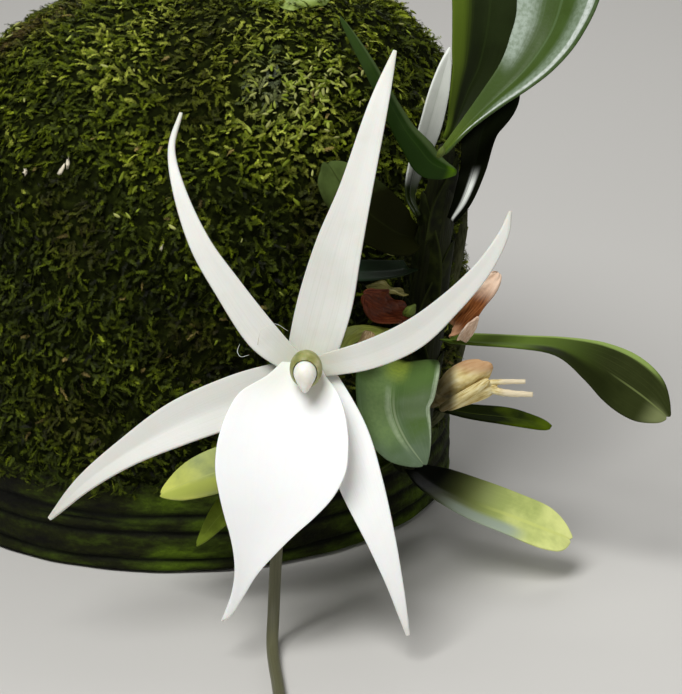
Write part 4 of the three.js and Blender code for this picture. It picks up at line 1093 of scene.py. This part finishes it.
SPENT_PRONGS = [
    ([(37.8, -38.3, 26.3), (39.6, -38.5, 26.5), (42.2, -38.4, 26.5)], [0.35, 0.32, 0.27]),
    ([(38.0, -38.4, 25.5), (40.2, -38.6, 25.1), (43.1, -38.5, 24.9)], [0.45, 0.42, 0.3]),
]
SPENT_FACE = [(0.1, -1, 0.25), (0.1, -1, 0.25)]
parts = [tube_points(SPENT_STALK, [0.8, 1.1, 1.5, 1.3, 0.5], sides=22, steps=40, rough=0.12)[0]]
parts += [tube_points(path, radii, sides=14, steps=30, rough=0.1, seed=k)[0]
          for k, (path, radii) in enumerate(SPENT_PRONGS)]
parts += [blade_points(faces=SPENT_FACE, keel=0.15, thick=0.4, edge=0.2, steps=36, wave=0.12, **shape)[0]
          for shape in SPENT_SEPALS]
points, faces, across, along = [], [], [], []
for loops in parts:
    rows, columns = loops.shape[:2]
    faces += closed_faces(rows, columns, start=sum(len(p) for p in points))
    points.append(loops.reshape(-1, 3))
    across.append(np.tile(np.sin(np.linspace(0, math.pi, columns)), rows))
    along.append(np.repeat(np.linspace(0, 1, rows), columns))
mesh_object("spent_flower_fine", np.concatenate(points), spent_paper, "spent", ["spent_flower"], faces,
            {"across": np.concatenate(across), "along": np.concatenate(along)})
print("spent flower parts:", len(parts))

# %% [markdown]
# ## The open flower
# Sepals, petals and lip are thick, waxy and pure white, with a green breath where they meet. Light enters
# them and comes out again, which softens their shading, so they get some subsurface scattering. They are laid
# out in the flower's own frame: x to its right, y to its top and z out of its face.


# %% White finish
def waxy_white(name, pale, tips, green_foot_and_shade, veins, mist=0.4):
    """A petal's skin: its main tone, its tip's, the greener and greyer one at its foot, which is a green tint
    with painted shade, how strongly its veins show, and how strongly a grey mist does."""
    material, tree = finish(name, 0.45, Subsurface_Weight=0.2, Subsurface_Scale=0.8 * MM,
                            Specular_IOR_Level=0.35)
    along, lines = streaked(tree, 15.0, 1.5, 4.0)[1:]
    place = add(tree, "TexCoord", out="Object")
    shade = add(tree, "ValToRGB", [along], [(0.05, green_foot_and_shade), (0.24, pale), (0.86, pale), (1.0, tips)])
    cloud = add(tree, "TexNoise", {"Vector": place, "Size": 3.846, "Detail": 5.0})
    shade = layer(tree, shade, "#D6D7CC", (cloud, 0.45, 0.75), most=mist)
    shade = layer(tree, shade, "#C9CBBC", (lines, 0.48, 0.72), most=veins)
    cells = add(tree, "TexNoise", {"Vector": place, "Size": 0.3846, "Detail": 3.0})
    dress(tree, shade, add(tree, "Mix", {0: 0.5, 2: cells, 3: lines}), 0.25, 0.1)
    return material


# Painted light and shade: the shaded and sunlit copies, and the brightest white of the lip, are one white lit
# differently.
white = waxy_white("waxy_white_sepal", "#E6E6E0", "#E0E0D2", "#BFC1AC", 0.3)
shaded_white = waxy_white("shaded_white_sepal", "#DADAD4", "#D4D4C8", "#B2B4A0", 0.3)
sunlit_white = waxy_white("sunlit_white_sepal", "#FAFAF8", "#F0F0E8", "#D2D4C6", 0.1, mist=0.1)
sunlit_lip_white = waxy_white("sunlit_white_lip", "#FEFEFD", "#F6F6F0", "#EFF0E8", 0.03, mist=0.05)
print("white finishes: plain, shaded, sunlit, lip")

# %% Sepals, petals and lip
FLOWER_TILT = math.radians(70)


def from_flower(points):
    """Points of the flower's own frame in the pot's frame."""
    x, y, z = np.moveaxis(points, -1, 0)
    c, s = math.cos(FLOWER_TILT), math.sin(FLOWER_TILT)
    return np.stack([x, y * c - z * s, y * s + z * c], axis=-1) + FLOWER_CENTRE


TEPALS = {
    "sepal_dorsal": dict(
        stations=[(0.2, -0.6, -3.9, 4.2), (0.6, 1.5, -3.5, 5.4), (2.2, 7.5, -2.1, 6.2),
                  (3.8, 14.0, -0.4, 5.3), (5.8, 20.7, 0.4, 3.7), (8.2, 29.7, 0.2, 2.3),
                  (10.2, 36.4, -1.4, 0.6)],
        fold=[8, 10, 4], keel=0.3),
    "sepal_left": dict(
        stations=[(-0.2, 0.0, -3.7, 3.2), (-2.3, -0.9, -3.3, 4.2), (-7.5, -3.1, -1.9, 5.6),
                  (-14.1, -5.8, -0.9, 5.1), (-20, -9.1, -0.4, 3.3), (-25, -12.7, -0.6, 2.0),
                  (-29, -16.7, -1.6, 0.6)],
        faces=[(0, 0, 1), (0.1, 0.3, 1)], fold=[6, 12, 16], keel=0.6),
    "sepal_right": dict(
        stations=[(0.8, 0.2, -3.7, 3.2), (1.9, -1.5, -3.3, 4.2), (4.4, -7.2, -2.2, 5.5),
                  (6.5, -13.1, -1.4, 4.9), (8.6, -19, -1.0, 3.3), (10.3, -24.5, -1.4, 1.8),
                  (11.7, -30, -2.6, 0.6)],
        fold=[6, 10, 6], keel=0.4),
    "petal_left": dict(
        stations=[(-0.2, -0.2, -2.5, 2.2), (-1.9, 1.4, -2.1, 2.8), (-5, 4.3, -1.0, 3.7),
                  (-8.7, 9.5, 0.2, 3.1), (-11.8, 14.4, 0.6, 2.4), (-14.1, 20.2, 0.2, 1.5),
                  (-15.1, 25.2, -0.9, 0.8), (-14.1, 29.4, -2.2, 0.5)],
        fold=[6, 10, 6], keel=0.3),
    "petal_right": dict(
        stations=[(0.3, 0.4, -2.6, 2.2), (3, 0.9, -2.1, 2.7), (7.4, 2, -0.9, 3.3), (12.2, 4.2, 0.2, 3.4),
                  (16.4, 7.7, 0.6, 2.6), (19.9, 11.4, 0.3, 2.0), (22.3, 15.2, -0.6, 1.3),
                  (23.3, 18.2, -1.6, 0.5)],
        fold=[6, 10, 6], keel=0.3),
}
LIP_ROWS = [
    (1.0, -2.6, 1.6, -2.0), (-0.6, -4.3, 2.3, -1.3), (-2.4, -7.2, 3.6, -0.75), (-4.6, -8.65, 4.45, -0.2),
    (-6.9, -9.5, 4.85, 0.2), (-9.1, -9.95, 4.9, 0.5), (-11.4, -10.0, 4.6, 0.7), (-13.9, -9.55, 3.3, 0.75),
    (-16.2, -9.0, 1.2, 0.6), (-18.4, -8.4, -1.25, 0.35), (-20.7, -8.0, -3.5, 0), (-22.9, -7.95, -5.4, -0.5),
    (-25.2, -8.35, -6.8, -1.2), (-27.4, -9.15, -8.15, -2.0), (-28.3, -9.55, -9.05, -2.4),
]
lip_stations = [((left + right) / 2, y, z, right - left) for y, left, right, z in LIP_ROWS]
# Painted light and shade: each tepal gets the white copy for the light it stands in.
TEPAL_SKINS = {"sepal_right": sunlit_white, "sepal_left": shaded_white, "petal_right": shaded_white}
for name, shape in TEPALS.items():
    skin = TEPAL_SKINS.get(name, white)
    blade(name + "_fine", skin, "petal", [name], place=from_flower, thick=0.6, edge=0.22, rounding=0.3,
          across=22, steps=80, **shape)
blade("lip_fine", sunlit_lip_white, "petal", ["lip"], place=from_flower, stations=lip_stations, level=(-1, 0, 0),
      fold=[8, 10, 8], keel=0.1, thick=0.6, edge=0.22, rounding=0.2, across=30, steps=100)
print("tepals:", len(TEPALS))

# %% [markdown]
# The column is the short green-cream hood in the middle, and the white anther cap sits in a pocket in it like
# a drop. The pocket is cut by a slightly larger copy of the cap, so the two fit with an even gap. Behind the
# column, a small pale green knob joins the feet of all the tepals.

# %% Column and anther cap
hood = blotched("green_cream_column", 0.4, 1.429, 4.0, [(0.3, "#757838"), (0.5, "#999A5C"), (0.7, "#BFBB92")],
                Subsurface_Weight=0.2, Subsurface_Scale=1.0 * MM)
cap_white = blotched("anther_white", 0.35, 1.111, 2.0, [(0.3, "#EDEBDC"), (0.7, "#FAFAF4")],
                     Subsurface_Weight=0.3, Subsurface_Scale=1.0 * MM)


def ball(centre, radii, extra=0.0, beak=0.0, browning_and_light=64, rings=48):
    """A round piece in the flower's frame. Its lower side is drawn out into a beak."""
    lift = np.linspace(0.02, math.pi - 0.02, rings)[:, None]
    turn = np.linspace(0, 2 * math.pi, browning_and_light, endpoint=False)
    x, z = np.sin(lift) * np.cos(turn), np.sin(lift) * np.sin(turn)
    y = np.broadcast_to(np.cos(lift), x.shape)
    below = np.maximum(-y, 0)
    wide, tall, deep = np.array(radii) + extra
    return from_flower(np.stack([centre[0] + x * wide * (1 - 0.35 * beak * below ** 2),
                                 centre[1] + y * tall - beak * below ** 3,
                                 centre[2] + z * deep * (1 - 0.3 * beak * below ** 2)], axis=-1))


ANTHER = dict(centre=(0.05, -0.15, 2.6), radii=(1.3, 1.45, 1.25), beak=0.75)
POCKET_GAP = 0.12
cap = mesh_object("anther_cap_fine", ball(**ANTHER), cap_white, "anther", ["anther_cap"])
column = mesh_object("column_fine", ball((0.15, 0.35, 1.35), (1.85, 2.15, 2.0)), hood, "column", ["column"])
pocket = mesh_object("pocket", ball(extra=POCKET_GAP, **ANTHER))
for piece in (cap, column, pocket):
    work = bmesh.new()
    work.from_mesh(piece.data)
    bmesh.ops.recalc_face_normals(work, faces=work.faces)
    work.to_mesh(piece.data)
    work.free()
cut = column.modifiers.new("pocket", "BOOLEAN")
cut.operation = "DIFFERENCE"
cut.object = pocket
bpy.context.view_layer.update()
shaped = bpy.data.meshes.new_from_object(column.evaluated_get(bpy.context.evaluated_depsgraph_get()))
column.modifiers.clear()
column.data = shaped
bpy.data.objects.remove(pocket)
knob_green = waxy_white("pale_green_knob", "#C6CAA2", "#C6CAA2", "#AEB57E", 0.1)
knob = ball((0.1, 0.3, -2.3), (1.75, 1.85, 2.2), browning_and_light=40, rings=24)
mesh_object("flower_knob", knob, knob_green, "column",
            fields=dict.fromkeys(("along", "across"), np.zeros(knob.shape[:2])))

THREADS = [
    [(-5.4, 2.9, -0.9), (-4.9, 4.6, 0.5), (-3.4, 5.4, 0.7), (-1.9, 4.6, 0.2)],
    [(-7.4, 3.1, -0.8), (-7.6, 2.3, 0.3), (-7.2, 1.7, 0.5), (-6.3, 1.9, 0.1)],
]
for number, path in enumerate(THREADS):
    tube(f"thread_{number + 1}", white, "petal", [], from_flower(np.array(path)), [0.03, 0.03, 0.025, 0.02],
         sides=6, steps=30)
print("column faces:", len(column.data.polygons))

# %% [markdown]
# ## Floor and light
# A plain pale floor and soft studio light. The main light hangs high in front, a little to the left, so the
# lip, which also has the brightest painted white, is the brightest thing in the picture, and the moss falls
# off towards its foot, helped by the painted shade in its colours. A weaker one fills from the right, and a
# soft one behind lifts the back edges.

# %% Floor, lights and view
FLOOR_HALF = 1.2
floor_mesh = bpy.data.meshes.new("floor")
floor_mesh.from_pydata([(x * FLOOR_HALF, y * FLOOR_HALF, 0) for x, y in ((-1, -1), (1, -1), (1, 1), (-1, 1))],
                       [], [(0, 1, 2, 3)])
floor = put("floor", floor_mesh)
plaster, tree = finish("pale_plaster", 0.85, Base_Color=colour("#CFCDC8"))
floor_mesh.materials.append(plaster)
floor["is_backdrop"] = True

# Each light is (its place in mm, its width in metres, its power in watts).
LIGHTS = {
    "key": ((-110, -260, 420), 0.24, 2.2),
    "fill": ((330, -240, 180), 0.30, 0.25),
    "back": ((60, 300, 330), 0.30, 0.6),
}
LIGHTS_AIM = np.array([12, -35, 30])
for name, (place, size, power) in LIGHTS.items():
    data = bpy.data.lights.new(name, "AREA")
    data.size = size
    data.energy = power
    lamp = put(name, data)
    lamp.location = [c * MM for c in place]
    aim = LIGHTS_AIM - place
    lamp.rotation_euler = (math.atan2(math.hypot(aim[0], aim[1]), -aim[2]), 0, math.atan2(-aim[0], aim[1]))
world = bpy.data.worlds.new("studio")
world.use_nodes = True
world.node_tree.nodes["Background"].inputs["Color"].default_value = colour("#EDEDED")
world.node_tree.nodes["Background"].inputs["Strength"].default_value = 0.10
bpy.context.scene.world = world
bpy.context.scene.view_settings.view_transform = "Standard"
print("lights:", len(LIGHTS))

# %% Sizes, and the end
bpy.context.view_layer.update()
visual_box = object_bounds()
sizes = {"cad": [list(corner) for corner in cad_box], "visual": [list(corner) for corner in visual_box]}
for key, (low, high) in sizes.items():
    print(key, [round((b - a) / MM, 1) for a, b in zip(low, high)], "mm")
